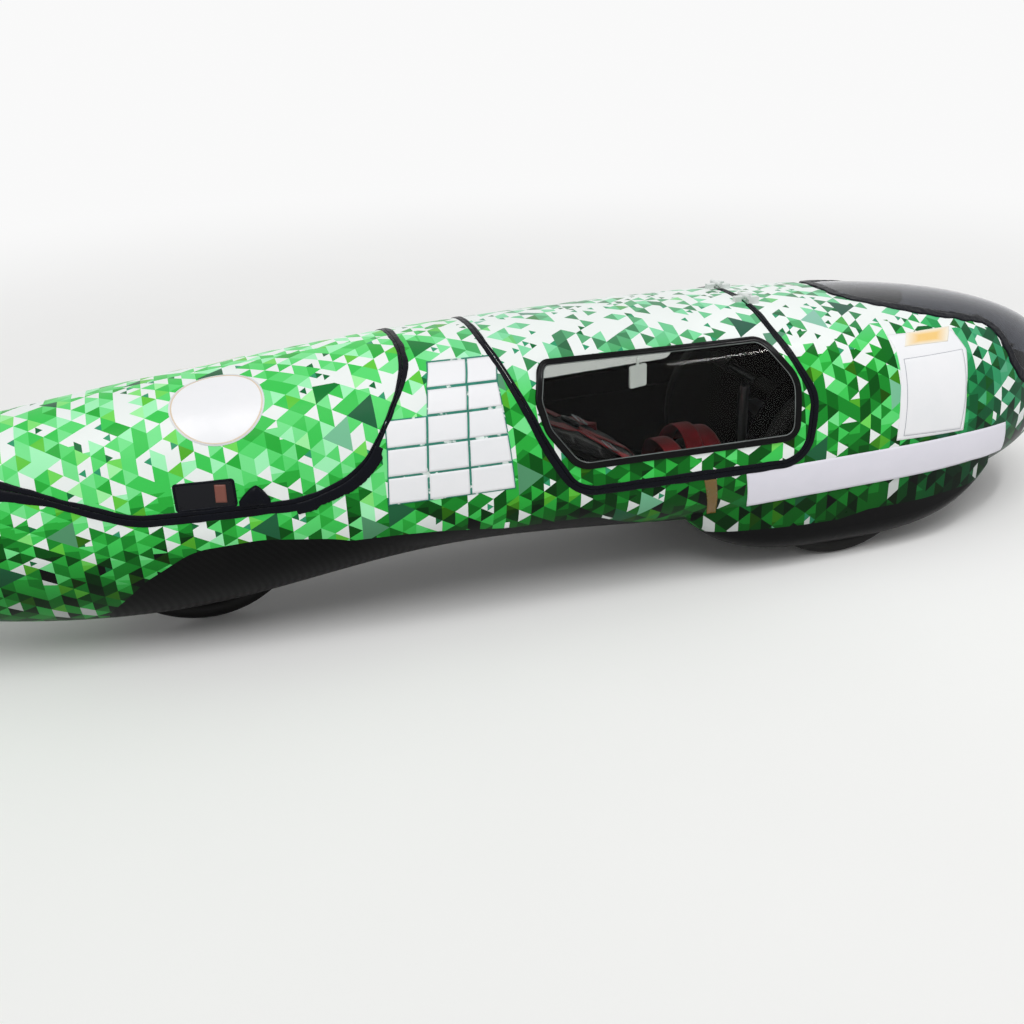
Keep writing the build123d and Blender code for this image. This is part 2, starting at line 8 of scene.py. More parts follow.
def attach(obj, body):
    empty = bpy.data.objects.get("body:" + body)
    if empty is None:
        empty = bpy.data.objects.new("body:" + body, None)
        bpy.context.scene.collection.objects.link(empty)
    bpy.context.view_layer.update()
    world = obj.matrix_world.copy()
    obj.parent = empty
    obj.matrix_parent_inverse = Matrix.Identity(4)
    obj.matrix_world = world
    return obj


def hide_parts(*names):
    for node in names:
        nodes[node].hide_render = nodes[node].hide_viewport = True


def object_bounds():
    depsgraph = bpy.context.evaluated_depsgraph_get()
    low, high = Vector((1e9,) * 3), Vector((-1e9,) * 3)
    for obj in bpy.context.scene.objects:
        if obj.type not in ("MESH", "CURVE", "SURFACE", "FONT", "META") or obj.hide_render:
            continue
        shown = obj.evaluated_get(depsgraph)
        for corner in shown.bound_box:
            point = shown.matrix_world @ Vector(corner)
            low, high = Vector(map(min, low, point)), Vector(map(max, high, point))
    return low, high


# streamlined three-wheeler in a green triangle wrap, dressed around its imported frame
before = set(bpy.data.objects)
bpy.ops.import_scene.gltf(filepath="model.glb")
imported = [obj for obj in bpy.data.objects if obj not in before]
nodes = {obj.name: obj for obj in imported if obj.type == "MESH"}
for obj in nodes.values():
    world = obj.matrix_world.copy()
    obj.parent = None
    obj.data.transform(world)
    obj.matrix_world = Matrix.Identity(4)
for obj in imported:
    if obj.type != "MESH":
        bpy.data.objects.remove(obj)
cadLow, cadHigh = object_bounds()
midHeight = 0.31          # height of the body's axis
sides = (-1, 1)           # right and left
print("frame loaded:", len(nodes), "parts")


def linear(red, green, blue):
    # a colour as read off a screen, turned into light values
    given = np.array([red, green, blue])
    light = np.where(given <= 0.04045, given / 12.92, ((given + 0.055) / 1.055) ** 2.4)
    return (*light.tolist(), 1.0)


def addObject(name, data):
    made = bpy.data.objects.new(name, data)
    bpy.context.scene.collection.objects.link(made)
    return made


# camera as the photograph was taken: heading turned from +Y towards the nose
shot = {"place": (-0.625, -2.353, 1.27), "heading": 17.0, "down": 24.8, "roll": 2.4, "lens": 38.78,
        "farthest": 200}


def makeCamera():
    # looks ahead along heading and pitch, with its right and its top turned by the roll
    heading, pitch, roll = (math.radians(shot[key]) for key in ("heading", "down", "roll"))
    right = Vector((math.cos(heading), -math.sin(heading), 0))
    level = math.cos(pitch)
    ahead = Vector((math.sin(heading) * level, math.cos(heading) * level, -math.sin(pitch)))
    below = ahead.cross(right)
    axisX = math.cos(roll) * right + math.sin(roll) * below
    axisY = math.sin(roll) * right - math.cos(roll) * below
    camera = addObject("photoCamera", bpy.data.cameras.new("photoCamera"))
    camera.data.lens = shot["lens"]
    camera.data.clip_end = shot["farthest"]
    turn = Matrix((axisX, axisY, -ahead)).transposed().to_4x4()
    camera.matrix_world = Matrix.Translation(shot["place"]) @ turn
    bpy.context.scene.camera = camera


makeCamera()


# node helpers: a value is a number, a colour, a socket or a wire, and a wire takes plain arithmetic
class Wire:
    def __init__(self, socket):
        self.socket = socket
        self.tree = socket.id_data

    def math(self, operation, *others):
        return wire(self, "Math", dict(enumerate((self, *others))), operation=operation)

    def __add__(self, other):
        return self.math("ADD", other)

    def __sub__(self, other):
        return self.math("SUBTRACT", other)

    def __mul__(self, other):
        return self.math("MULTIPLY", other)

    def __truediv__(self, other):
        return self.math("DIVIDE", other)

    def __lt__(self, other):
        return self.math("LESS_THAN", other)


def feed(value, socket):
    if isinstance(value, Wire):
        value = value.socket
    if isinstance(value, bpy.types.NodeSocket):
        socket.id_data.links.new(value, socket)
    else:
        socket.default_value = value


def addNode(tree, kind, inputs=None, **settings):
    made = tree.nodes.new("ShaderNode" + kind)
    for key, value in settings.items():
        setattr(made, key, value)
    for key, value in (inputs or {}).items():
        feed(value, made.inputs[key])
    return made


def wire(near, kind, inputs=None, output=0, **settings):
    # one output of a new node, in the tree of a wire that is already there
    return Wire(addNode(near.tree, kind, inputs, **settings).outputs[output])


def split(value, kind="XYZ"):
    return [Wire(socket) for socket in addNode(value.tree, "Separate" + kind, {0: value}).outputs]


def blend(share, first, second, kind="MIX"):
    near = next(value for value in (share, first, second) if isinstance(value, Wire))
    return wire(near, "Mix", {0: share, 6: first, 7: second}, 2, data_type="RGBA", blend_type=kind)


def ramp(value, stops, mode="LINEAR"):
    made = addNode(value.tree, "ValToRGB", {0: value})
    made.color_ramp.interpolation = mode
    elements = made.color_ramp.elements
    while len(elements) < len(stops):
        elements.new(0.5)
    for element, (place, colour) in zip(elements, stops):
        element.position = place
        element.color = colour
    return Wire(made.outputs[0])


def curve(value, points):
    # a measured line through points (0..1, 0..1)
    made = addNode(value.tree, "FloatCurve", {"Value": value})
    line = made.mapping.curves[0]
    line.points[0].location = points[0]
    line.points[1].location = points[-1]
    for place in points[1:-1]:
        line.points.new(*place)
    for point in line.points:
        point.handle_type = "VECTOR"
    made.mapping.update()
    return Wire(made.outputs[0])


def spread(value, low, high, fromLow=0.0, fromHigh=1.0, **settings):
    inputs = {"Value": value, "From Min": fromLow, "From Max": fromHigh, "To Min": low, "To Max": high}
    return wire(value, "MapRange", inputs, "Result", **settings)


def noise(place, scale, detail=3.0, rough=0.5):
    inputs = {"Vector": place, "Scale": scale, "Detail": detail, "Roughness": rough}
    return wire(place, "TexNoise", inputs, "Fac")


def bump(height, strength, distance, under=None):
    inputs = {"Height": height, "Strength": strength, "Distance": distance}
    return wire(height, "Bump", inputs if under is None else {**inputs, "Normal": under})


def alongAcross(place):
    # the piece's own map: u along it, v across it
    return split(wire(place, "UVMap", uv_map="alongAcross"))[:2]


def newMaterial(name, **values):
    # gives the place on the object, and a function that feeds the shader and hands over the material
    made = bpy.data.materials.new(name)
    made.use_nodes = True
    tree = made.node_tree
    tree.nodes.clear()
    end = addNode(tree, "OutputMaterial")
    shader = addNode(tree, "BsdfPrincipled", {key.replace("_", " "): value for key, value in values.items()})
    feed(shader.outputs[0], end.inputs[0])

    def dress(colour, rough=None, normal=None):
        for key, value in (("Base Color", colour), ("Roughness", rough), ("Normal", normal)):
            if value is not None:
                feed(value, shader.inputs[key])
        return made

    return Wire(addNode(tree, "TexCoord").outputs["Object"]), dress


def passInto(made, share, other):
    # the finished shader passes into another one by a share
    tree = made.node_tree
    own = tree.nodes["Principled BSDF"].outputs[0]
    mix = addNode(tree, "MixShader", {0: share, 1: own, 2: other.outputs[0]})
    feed(mix.outputs[0], tree.nodes["Material Output"].inputs[0])
    return made


def readAll(items, key, columns=1, kind=float):
    # one attribute of every item, as an array with so many columns
    values = np.zeros(len(items) * columns, kind)
    items.foreach_get(key, values)
    return values.reshape(-1, columns)


# skin measured on the frame: radius of the outside at each place along the body and angle round it
skinParts = ["hull", "belly_pan", "door", "tail_lid", "nose_canopy", "window_left", "window_right",
             "service_panel"]
measure = {"step": 0.02, "angles": 361, "endGap": 0.004, "outward": 0.3, "probe": 0.012, "probeTurn": 0.036,
           "halvings": 34, "curvePoints": 29}


def outerTriangles():
    # corners of every skin triangle whose face points away from the body's axis
    found = []
    for name in skinParts:
        mesh = nodes[name].data
        mesh.calc_loop_triangles()
        found.append(readAll(mesh.vertices, "co", 3)[readAll(mesh.loop_triangles, "vertices", 3, np.int32)])
    tri = np.concatenate(found)
    normal = np.cross(tri[:, 1] - tri[:, 0], tri[:, 2] - tri[:, 0])
    middle = tri.mean(1) - [0, 0, midHeight]
    outward = normal[:, 1] * middle[:, 1] + normal[:, 2] * middle[:, 2]
    least = measure["outward"] * np.linalg.norm(normal, axis=1) * np.hypot(middle[:, 1], middle[:, 2])
    return tri[outward > least]


def sectionRadii(tri, place, angles):
    # where the plane x = place cuts the triangles' edges, the largest radius in each small wedge
    ends = np.concatenate([tri[:, [0, 1]], tri[:, [1, 2]], tri[:, [2, 0]]])
    gap = ends[:, :, 0] - place
    ends = ends[gap[:, 0] * gap[:, 1] < 0]
    share = (place - ends[:, 0, 0]) / (ends[:, 1, 0] - ends[:, 0, 0])
    cut = ends[:, 0] + share[:, None] * (ends[:, 1] - ends[:, 0])
    turn = np.arctan2(cut[:, 2] - midHeight, cut[:, 1])
    wedge = np.round((turn + np.pi) / (angles[1] - angles[0])).astype(int)
    largest = np.zeros(len(angles))
    np.maximum.at(largest, wedge, np.hypot(cut[:, 2] - midHeight, cut[:, 1]))
    known = np.flatnonzero(largest)
    return np.interp(np.arange(len(angles)), known, largest[known])


def closeGaps(radii, reach, axis):
    # largest then smallest within reach along one axis, so that a narrow seam leaves no dip
    pad = [(0, 0), (reach, reach)] if axis else [(reach, reach), (0, 0)]
    for pick in (np.maximum, np.minimum):
        wide = np.pad(radii, pad, mode="wrap" if axis else "edge")
        radii = pick.reduce([np.roll(wide, shift, axis) for shift in range(-reach, reach + 1)])
        radii = radii[:, reach:-reach] if axis else radii[reach:-reach]
    return radii


def measureSkin():
    # radii of a section at every step from the tail to the nose, with the seams' gaps closed
    tri = outerTriangles()
    low, high = tri[:, :, 0].min() + measure["endGap"], tri[:, :, 0].max() - measure["endGap"]
    places = np.linspace(low, high, int((high - low) / measure["step"]))
    angles = np.linspace(-np.pi, np.pi, measure["angles"])
    radii = np.array([sectionRadii(tri, place, angles) for place in places])
    return places, angles, np.maximum(closeGaps(radii, 1, 0), closeGaps(radii, 2, 1))


skinPlaces, skinAngles, skinRadii = measureSkin()
print("skin measured:", skinRadii.shape)


def skinRadius(x, turn):
    # bilinear between the measured sections
    col = np.clip(np.interp(x, skinPlaces, np.arange(len(skinPlaces))), 0, len(skinPlaces) - 1.001)
    row = (np.mod(turn + np.pi, 2 * np.pi)) / (2 * np.pi) * (len(skinAngles) - 1)
    row = np.clip(row, 0, len(skinAngles) - 1.001)
    i, j = col.astype(int), row.astype(int)
    f, g = col - i, row - j
    r = skinRadii
    return ((1 - f) * (1 - g) * r[i, j] + f * (1 - g) * r[i + 1, j]
            + (1 - f) * g * r[i, j + 1] + f * g * r[i + 1, j + 1])


def skinPoint(x, turn, lift=0.0):
    # point at angle turn round the axis, raised along the skin's normal
    def at(a, b):
        radius = skinRadius(a, b)
        return np.stack([a + 0 * b, radius * np.cos(b), midHeight + radius * np.sin(b)], -1)

    step, swing = measure["probe"], measure["probeTurn"]
    normal = np.cross(at(x, turn + swing) - at(x, turn - swing), at(x + step, turn) - at(x - step, turn))
    normal /= np.linalg.norm(normal, axis=-1, keepdims=True)
    return at(x, turn) + normal * np.asarray(lift)[..., None]


def turnAt(x, z, side=-1):
    # the angle whose skin point has height z, found by halving; side -1 is the right
    low = np.full(np.shape(x), -np.pi / 2)
    high = np.full(np.shape(x), np.pi / 2)
    for _ in range(measure["halvings"]):
        middle = (low + high) / 2
        turn = middle if side > 0 else np.pi - middle
        under = midHeight + skinRadius(x, turn) * np.sin(turn) < z
        low = np.where(under, middle, low)
        high = np.where(under, high, middle)
    middle = (low + high) / 2
    return middle if side > 0 else np.pi - middle


# wrap film: a lattice of triangles with one upright side, laid round the body from its widest line
wrap = {"edge": 0.0325, "rhombusShare": 0.13, "diamondShare": 0.09, "doubleShare": 0.06, "smallShare": 0.05,
        "shadeBlackShare": 0.05, "limeAbove": 0.88, "limeTurn": -0.035,
        # by degrees above the widest line, behind the door and over it: whites' share, lowest tone, its
        # range; whiter and paler greens higher up are painted light, darker greens lower down are painted
        # shade
        "whiteRear": [(-40, 0.08), (8, 0.13), (35, 0.24), (62, 0.36)],
        "whiteFront": [(-40, 0.05), (12, 0.12), (38, 0.24), (56, 0.64)],
        "toneRear": [(-40, 0.0), (-8, 0.06), (6, 0.26), (26, 0.66), (60, 0.66)],
        "toneFront": [(-40, 0.0), (-12, 0.03), (10, 0.15), (40, 0.32), (70, 0.46)],
        "rangeRear": [(-40, 0.80), (-8, 0.90), (6, 0.70), (26, 0.36)],
        "rangeFront": [(-40, 0.36), (-12, 0.60), (10, 0.76), (40, 0.60), (70, 0.40)],
        "degrees": (-40.0, 90.0), "frontFrom": (-0.15, 0.10), "noseFrom": (0.92, 1.25),
        "roofFrom": (40.0, 60.0), "coolHue": 0.045, "coolFade": -0.28, "noseDark": -0.5, "shadeBlackUnder": -8.0,
        "lowEdge": [(-1.62, 0.0), (-0.52, 0.0), (-0.445, 0.260), (-0.343, 0.254), (-0.238, 0.252),
                    (-0.151, 0.246), (-0.062, 0.234), (0.008, 0.222), (0.184, 0.222), (0.215, 0.216),
                    (0.27, 0.190), (0.36, 0.150), (0.46, 0.131), (0.56, 0.125), (0.72, 0.117), (0.82, 0.115),
                    (0.90, 0.128), (1.05, 0.126), (1.20, 0.133), (1.32, 0.145), (1.45, 0.172), (1.56, 0.235),
                    (1.62, 0.27)]}
greens = [(0.00, (0.00, 0.13, 0.02)), (0.08, (0.01, 0.21, 0.04)), (0.18, (0.02, 0.31, 0.07)),
          (0.30, (0.05, 0.42, 0.11)), (0.43, (0.10, 0.54, 0.17)), (0.56, (0.17, 0.68, 0.24)),
          (0.68, (0.25, 0.79, 0.34)), (0.79, (0.36, 0.86, 0.45)), (0.88, (0.47, 0.90, 0.56)),
          (0.95, (0.64, 0.96, 0.73))]
doubleGreens = [(0.0, (0.13, 0.38, 0.24)), (0.35, (0.33, 0.58, 0.42)), (0.65, (0.08, 0.48, 0.20)),
                (0.85, (0.48, 0.76, 0.60))]
smallGreens = [(0.0, (0.08, 0.42, 0.22)), (0.5, (0.20, 0.60, 0.42))]


def bodyCurves():
    # length along the skin and mean radius, both against x, as shares for the curve nodes
    radius = skinRadii[:, 60:300:4].mean(1)
    length = np.concatenate([[0], np.cumsum(np.hypot(np.diff(skinPlaces), np.diff(radius)))])
    pick = np.linspace(0, len(skinPlaces) - 1, measure["curvePoints"]).round().astype(int)
    share = (skinPlaces[pick] - skinPlaces[0]) / (skinPlaces[-1] - skinPlaces[0])
    lines = [np.stack([share, level], -1).tolist() for level in (length[pick] / length[-1], radius[pick])]
    return *lines, float(length[-1])


alongPoints, roundPoints, skinLength = bodyCurves()


def skinCoordinates(place):
    # length along the skin, height of arc above the widest line, angle, side, x and z of each point
    x, y, z = split(place)
    share = spread(x, 0.0, 1.0, float(skinPlaces[0]), float(skinPlaces[-1]))
    angle = (z - midHeight).math("ARCTAN2", y.math("ABSOLUTE"))
    along = curve(share, alongPoints) * skinLength
    return along, angle * curve(share, roundPoints), angle, y.math("SIGN"), x, z


def cellNoise(*ids):
    # a random value and a random colour that stay the same over one cell
    cell = wire(ids[0], "CombineXYZ", dict(enumerate(ids)))
    made = addNode(cell.tree, "TexWhiteNoise", {"Vector": cell}, noise_dimensions="3D")
    return Wire(made.outputs["Value"]), Wire(made.outputs["Color"])


def triangleCells(p, q):
    # whole steps along the lattice's three directions
    return [row.math("FLOOR") for row in (p, q - p * 0.5, q + p * 0.5)]


def shareCurve(degrees, stops):
    # a share that follows the angle above the widest line
    low, high = wrap["degrees"]
    levels = [((angle - low) / (high - low), (level, level, level, 1.0)) for angle, level in stops]
    return wire(degrees, "RGBToBW", {0: ramp(spread(degrees, 0.0, 1.0, low, high), levels)})


def steps(value, stops):
    # one of a few colours, with no blend between them
    return ramp(value, [(stop, linear(*colour)) for stop, colour in stops], "CONSTANT")


def makeWrap():
    # every triangle takes a random green or white; some join into rhombi, double triangles or small ones
    place, dress = newMaterial("wrapFilm", Coat_Weight=0.04, Coat_Roughness=0.1, Specular_IOR_Level=0.07)
    along, height, angle, side, x, z = skinCoordinates(place)
    p, q = along / (wrap["edge"] * math.sqrt(3) / 2), height / wrap["edge"]
    a, b, c = triangleCells(p, q)
    a = side * 53.0 + a
    picked = cellNoise(a, b, c)[1]
    for share, ids in ((wrap["rhombusShare"], (a, b, 11.5)), (wrap["rhombusShare"], (a, 23.5, c)),
                       (wrap["diamondShare"], (side * 9.0, b, c))):
        value, colour = cellNoise(*ids)
        picked = blend(value < share, picked, colour)
    first, *others = triangleCells(p * 0.5, q * 0.5)
    value, colour = cellNoise(side * 31.0 + first, *others)
    isDouble = value < wrap["doubleShare"]
    limeLot, whiteLot, toneLot = split(blend(isDouble, picked, colour), "Color")
    degrees = angle * (180 / math.pi)
    front = spread(x, 0.0, 1.0, *wrap["frontFrom"])
    # whites' share and the greens' tone follow the angle: painted light towards the top, painted shade
    # towards the bottom
    levels = {}
    for key in ("white", "tone", "range"):
        rear, ahead = (shareCurve(degrees, wrap[key + end]) for end in ("Rear", "Front"))
        levels[key] = (ahead - rear) * front + rear
    isWhite = whiteLot < levels["white"]
    green = steps(toneLot * levels["range"] + levels["tone"], greens)
    green = blend(isDouble, green, steps(toneLot, doubleGreens))
    # bluer and greyer on the roof and towards the nose, where it is also darker; a few limes among the rest
    nose = spread(x, 0.0, 1.0, *wrap["noseFrom"])
    cool = nose.math("MAXIMUM", spread(degrees, 0.0, 0.8, *wrap["roofFrom"]) * front)
    lime = limeLot.math("GREATER_THAN", wrap["limeAbove"]) * wrap["limeTurn"]
    green = wire(green, "HueSaturation", {
        "Hue": cool * wrap["coolHue"] + 0.5 + lime, "Value": nose * wrap["noseDark"] + 1.0,
        "Saturation": (cool - nose) * wrap["coolFade"] + 1.0, "Color": green})
    colour = blend(isWhite, green, linear(0.93, 0.95, 0.94))
    # near-black triangles only below the widest line: painted shade, greens drawn black where shadow falls
    isShadeBlack = (degrees < wrap["shadeBlackUnder"]) * ((toneLot * 17.0).math("FRACT") < wrap["shadeBlackShare"])
    colour = blend(isShadeBlack, colour, linear(0.03, 0.05, 0.04))
    first, *others = triangleCells(p * 2.0, q * 2.0)
    value, lots = cellNoise(side * 71.0 + first, *others)
    isSmall = (value < wrap["smallShare"]) * isWhite
    colour = blend(isSmall, colour, steps(split(lots, "Color")[1], smallGreens))
    # cloudy grime times painted shade: the colour darkens towards the bottom, down to 0.45 at 38 degrees
    # under the widest line
    grimeAndShade = spread(noise(place, 3.0, 4.0), 0.94, 1.0, 0.35, 0.6) * spread(degrees, 0.45, 1.0, -38.0, 2.0)
    colour = blend(1.0, colour, grimeAndShade, "MULTIPLY")
    ends = [wrap["lowEdge"][end][0] for end in (0, -1)]
    points = [((at - ends[0]) / (ends[1] - ends[0]), level) for at, level in wrap["lowEdge"]]
    # below its lower edge the film ends on bare carbon
    bare = z < curve(spread(x, 0.0, 1.0, *ends), points)
    colour = blend(bare, colour, linear(0.035, 0.035, 0.04))
    creases = bump(noise(place, 14.0, 5.0, 0.6), 0.10, 0.004, bump(noise(place, 260.0, 2.0), 0.06, 0.001))
    return dress(colour, spread(noise(place, 40.0), 0.24, 0.38), creases)


towWidth = 0.004


def makeCarbon(name, rough, coat):
    # over and under tows of a twill, as light and dark squares that step along by one each row
    place, dress = newMaterial(name, Coat_Weight=coat, Coat_Roughness=0.15, Specular_IOR_Level=0.06)
    x, y, z = split(place)
    one, two = (x + z) / towWidth, y / towWidth
    over = (one.math("FLOOR") + two.math("FLOOR")).math("FLOORED_MODULO", 4.0) < 1.5
    crown = one.math("PINGPONG", 0.5) * two.math("PINGPONG", 0.5)
    colour = blend(over, linear(0.014, 0.014, 0.016), linear(0.032, 0.032, 0.035))
    dust = spread(noise(place, 7.0, 5.0, 0.6), 0.0, 0.03, 0.45, 0.8)
    colour = blend(dust, colour, linear(0.30, 0.29, 0.27))
    return dress(colour, over * -0.06 + rough, bump(crown, 0.12, 0.0004))


def makeClear(name, tint, density):
    # thin clear sheet that also lets lamps through; a low density keeps pale surroundings from greying it
    place, dress = newMaterial(name, Transmission_Weight=1.0, IOR=density)
    scuffs = spread(noise(place, 30.0, 3.0, 0.6), 0.0, 0.03, 0.65, 0.85)
    made = dress(linear(*tint), scuffs, bump(noise(place, 5.0, 1.0), 0.04, 0.01))
    through = addNode(place.tree, "BsdfTransparent", {"Color": linear(*tint)})
    return passInto(made, wire(place, "LightPath", output="Is Shadow Ray"), through)


def makeSurface(name, colour, rough, grain, depth, metal=0.0, worn=0.15, wornColour=None, coat=0.0,
                shine=0.5):
    # one finish: base colour with cloudy wear, roughness that follows it, and a fine grain
    place, dress = newMaterial(name, Metallic=metal, Coat_Weight=coat, Specular_IOR_Level=shine)
    cloud = noise(place, 9.0, 6.0, 0.62)
    rubbed = linear(*(wornColour or [min(1.0, part * 1.35 + 0.04) for part in colour]))
    fine = bump(noise(place, grain, 4.0, 0.6), 0.3, depth)
    return dress(blend(spread(cloud, 0.0, worn, 0.4, 0.75), linear(*colour), rubbed),
                 spread(cloud, rough - 0.08, rough + 0.1, 0.3, 0.7), fine)


def makeTape():
    # navy-black vinyl tape, dull with shiny pressed lines and small wrinkles
    place, dress = newMaterial("blackTape", Specular_IOR_Level=0.1)
    cloud, fine = noise(place, 30.0, 5.0, 0.6), noise(place, 160.0, 6.0, 0.65)
    return dress(blend(cloud, linear(0.01, 0.014, 0.03), linear(0.03, 0.042, 0.085)),
                 spread(fine, 0.22, 0.55, 0.35, 0.7), bump(fine, 0.35, 0.0012, bump(cloud, 0.5, 0.004)))


def makePanelGround():
    # teal ground under the white panels, worn through to white in patches
    place, dress = newMaterial("panelTeal", Roughness=0.4)
    patches = spread(noise(place, 26.0, 3.0, 0.6), 0.0, 1.0, 0.56, 0.60)
    tone = blend(noise(place, 60.0, 2.0), linear(0.05, 0.40, 0.34), linear(0.16, 0.58, 0.48))
    return dress(blend(patches, tone, linear(0.88, 0.93, 0.91)))


def makeBar():
    # pale yellow printed bar that fades out at its ends, on the white sheet
    place, dress = newMaterial("plateYellow", Roughness=0.4)
    away, other = ((share - 0.5).math("ABSOLUTE") for share in alongAcross(place))
    level = spread(away.math("MAXIMUM", other), 1.0, 0.1, 0.2, 0.5) * spread(noise(place, 30.0), 0.85, 1.0)
    return dress(blend(level, linear(0.93, 0.92, 0.88), linear(0.93, 0.76, 0.42)))


def makeRubber():
    # tyre: fine file-cut diamonds over the crown by the tyre's own map, dusty sidewalls
    place, dress = newMaterial("tyreRubber", Specular_IOR_Level=0.2)
    u, v = alongAcross(place)
    crown = spread((v - 0.5).math("ABSOLUTE"), 1.0, 0.0, 0.14, 0.20)
    first, second = ((v * slant + u * 260.0).math("PINGPONG", 0.5) for slant in (40.0, -40.0))
    groove = spread(first.math("MINIMUM", second), 0.0, 1.0, 0.06, 0.14)
    dust = spread(noise(place, 22.0, 6.0, 0.65), 0.0, 0.4, 0.42, 0.75)
    colour = blend(dust, linear(0.045, 0.045, 0.045), linear(0.16, 0.155, 0.145))
    # the file-cut lines on the crown are painted near black over the dust: painted shade in the cuts
    cut = crown - crown * groove
    fine = bump(noise(place, 500.0), 0.2, 0.0005)
    return dress(blend(cut, colour, linear(0.02, 0.02, 0.02)), spread(dust, 0.55, 0.8, 0.0, 0.4),
                 bump(groove * crown, 0.6, 0.0007, fine))


def makeCloth(name, colour, size, depth):
    # woven cloth: threads over and under in two directions, fuzzy sheen, faded patches
    place, dress = newMaterial(name, Sheen_Weight=0.25, Sheen_Roughness=0.5, Specular_IOR_Level=0.2)
    x, y, z = split(place)
    one, two = (row.math("PINGPONG", 0.5) for row in ((x - z) / size, y / size))
    thread = one.math("MAXIMUM", two)
    fade = spread(noise(place, 18.0, 4.0), 0.0, 0.35, 0.4, 0.75)
    pale = linear(*[min(1.0, part * 1.3 + 0.05) for part in colour])
    woven = blend(thread, linear(*[part * 0.6 for part in colour]), linear(*colour))
    return dress(blend(fade, woven, pale), spread(thread, 0.95, 0.75, 0.0, 0.5), bump(thread, 0.5, depth))


# plain finishes: colour, roughness, grain and its depth, then wear, metal, coat or shine where they differ
surfaces = {
    "blackFrame": ((0.012, 0.013, 0.016), 0.18, 90.0, 0.0006, {"worn": 0.03, "shine": 0.12}),
    "blackPlastic": ((0.03, 0.035, 0.06), 0.36, 700.0, 0.0005, {"worn": 0.1, "shine": 0.2}),
    "plateWhite": ((0.93, 0.93, 0.94), 0.35, 90.0, 0.0008, {"worn": 0.3, "wornColour": (0.87, 0.89, 0.9)}),
    "stripWhite": ((0.90, 0.89, 0.93), 0.35, 90.0, 0.0008, {"worn": 0.3, "wornColour": (0.84, 0.84, 0.88)}),
    "plateGrey": ((0.62, 0.63, 0.66), 0.4, 300.0, 0.0003, {}),
    # grey lip at the pane's edge: painted highlight, mottled towards near black
    "edgeHighlightGrey": ((0.42, 0.45, 0.44), 0.25, 200.0, 0.0004, {"worn": 0.9, "wornColour": (0.05, 0.055, 0.06)}),
    "ringTan": ((0.86, 0.78, 0.68), 0.4, 200.0, 0.0003, {"worn": 0.5, "wornColour": (0.92, 0.9, 0.86)}),
    "tapeBrown": ((0.45, 0.31, 0.10), 0.25, 120.0, 0.001, {"worn": 0.7, "wornColour": (0.24, 0.38, 0.12)}),
    "labelRust": ((0.46, 0.25, 0.20), 0.5, 400.0, 0.0005, {"worn": 0.4, "wornColour": (0.30, 0.17, 0.15)}),
    "mirrorWhite": ((0.93, 0.94, 0.93), 0.22, 500.0, 0.0002,
                    {"metal": 0.35, "worn": 0.4, "wornColour": (0.82, 0.83, 0.82)}),
    "hingeWhite": ((0.86, 0.88, 0.87), 0.4, 300.0, 0.0004, {"worn": 0.3, "wornColour": (0.7, 0.72, 0.7)}),
    "zincSteel": ((0.62, 0.63, 0.64), 0.35, 300.0, 0.0004, {"metal": 1.0}),
    "bareAluminium": ((0.72, 0.73, 0.74), 0.38, 260.0, 0.0004, {"metal": 1.0}),
    "floorBoard": ((0.07, 0.06, 0.06), 0.6, 420.0, 0.0008, {"shine": 0.15}),
    "wheelBlack": ((0.03, 0.03, 0.034), 0.32, 420.0, 0.0003, {"coat": 0.08, "shine": 0.25}),
    "motorCase": ((0.33, 0.34, 0.35), 0.42, 300.0, 0.0005, {"metal": 0.9}),
    "batteryCase": ((0.10, 0.12, 0.16), 0.5, 600.0, 0.0006, {}),
    "gripRubber": ((0.045, 0.045, 0.045), 0.7, 500.0, 0.0006, {"shine": 0.3})}
finishes = {name: makeSurface(name, *values, **more) for name, (*values, more) in surfaces.items()}
finishes.update({
    "wrapFilm": makeWrap(), "blackTape": makeTape(), "plateYellow": makeBar(), "panelTeal": makePanelGround(),
    "tyreRubber": makeRubber(),
    "bellyCarbon": makeCarbon("bellyCarbon", 0.42, 0.04),
    "innerCarbon": makeCarbon("innerCarbon", 0.62, 0.0),
    "seatCarbon": makeCarbon("seatCarbon", 0.45, 0.15),
    "windowClear": makeClear("windowClear", (0.86, 0.87, 0.86), 1.14),
    "canopyClear": makeClear("canopyClear", (0.50, 0.51, 0.54), 1.18),
    "cushionCloth": makeCloth("cushionCloth", (0.085, 0.08, 0.09), 0.0022, 0.0006),
    "redWebbing": makeCloth("redWebbing", (0.68, 0.10, 0.15), 0.0016, 0.0005)})
nodesOf = {"innerCarbon": ("hull", "door", "tail_lid", "bulkhead", "wheel_guards"),
           "bellyCarbon": ("belly_pan",),
           "canopyClear": ("nose_canopy",), "windowClear": ("window_left", "window_right"),
           "blackFrame": ("window_frames",), "blackTape": ("canopy_tape", "door_tape", "lid_tape"),
           "blackPlastic": ("service_panel", "lid_latches", "steering_bar"), "mirrorWhite": ("mirrors",),
           "floorBoard": ("floor", "tail_tray"), "seatCarbon": ("seat",), "redWebbing": ("harness",),
           "cushionCloth": ("back_cushion", "base_cushion", "headrest"), "batteryCase": ("battery",),
           "bareAluminium": ("foot_plate", "front_beam", "steering_column", "tail_frame", "rear_fork"),
           "motorCase": ("hub_motor",), "zincSteel": ("tow_eye",)}
finishOf = {name: finish for finish, names in nodesOf.items() for name in names}
cover = {"outward": 0.3, "tailEnd": 0.05, "tailFacing": -0.2}


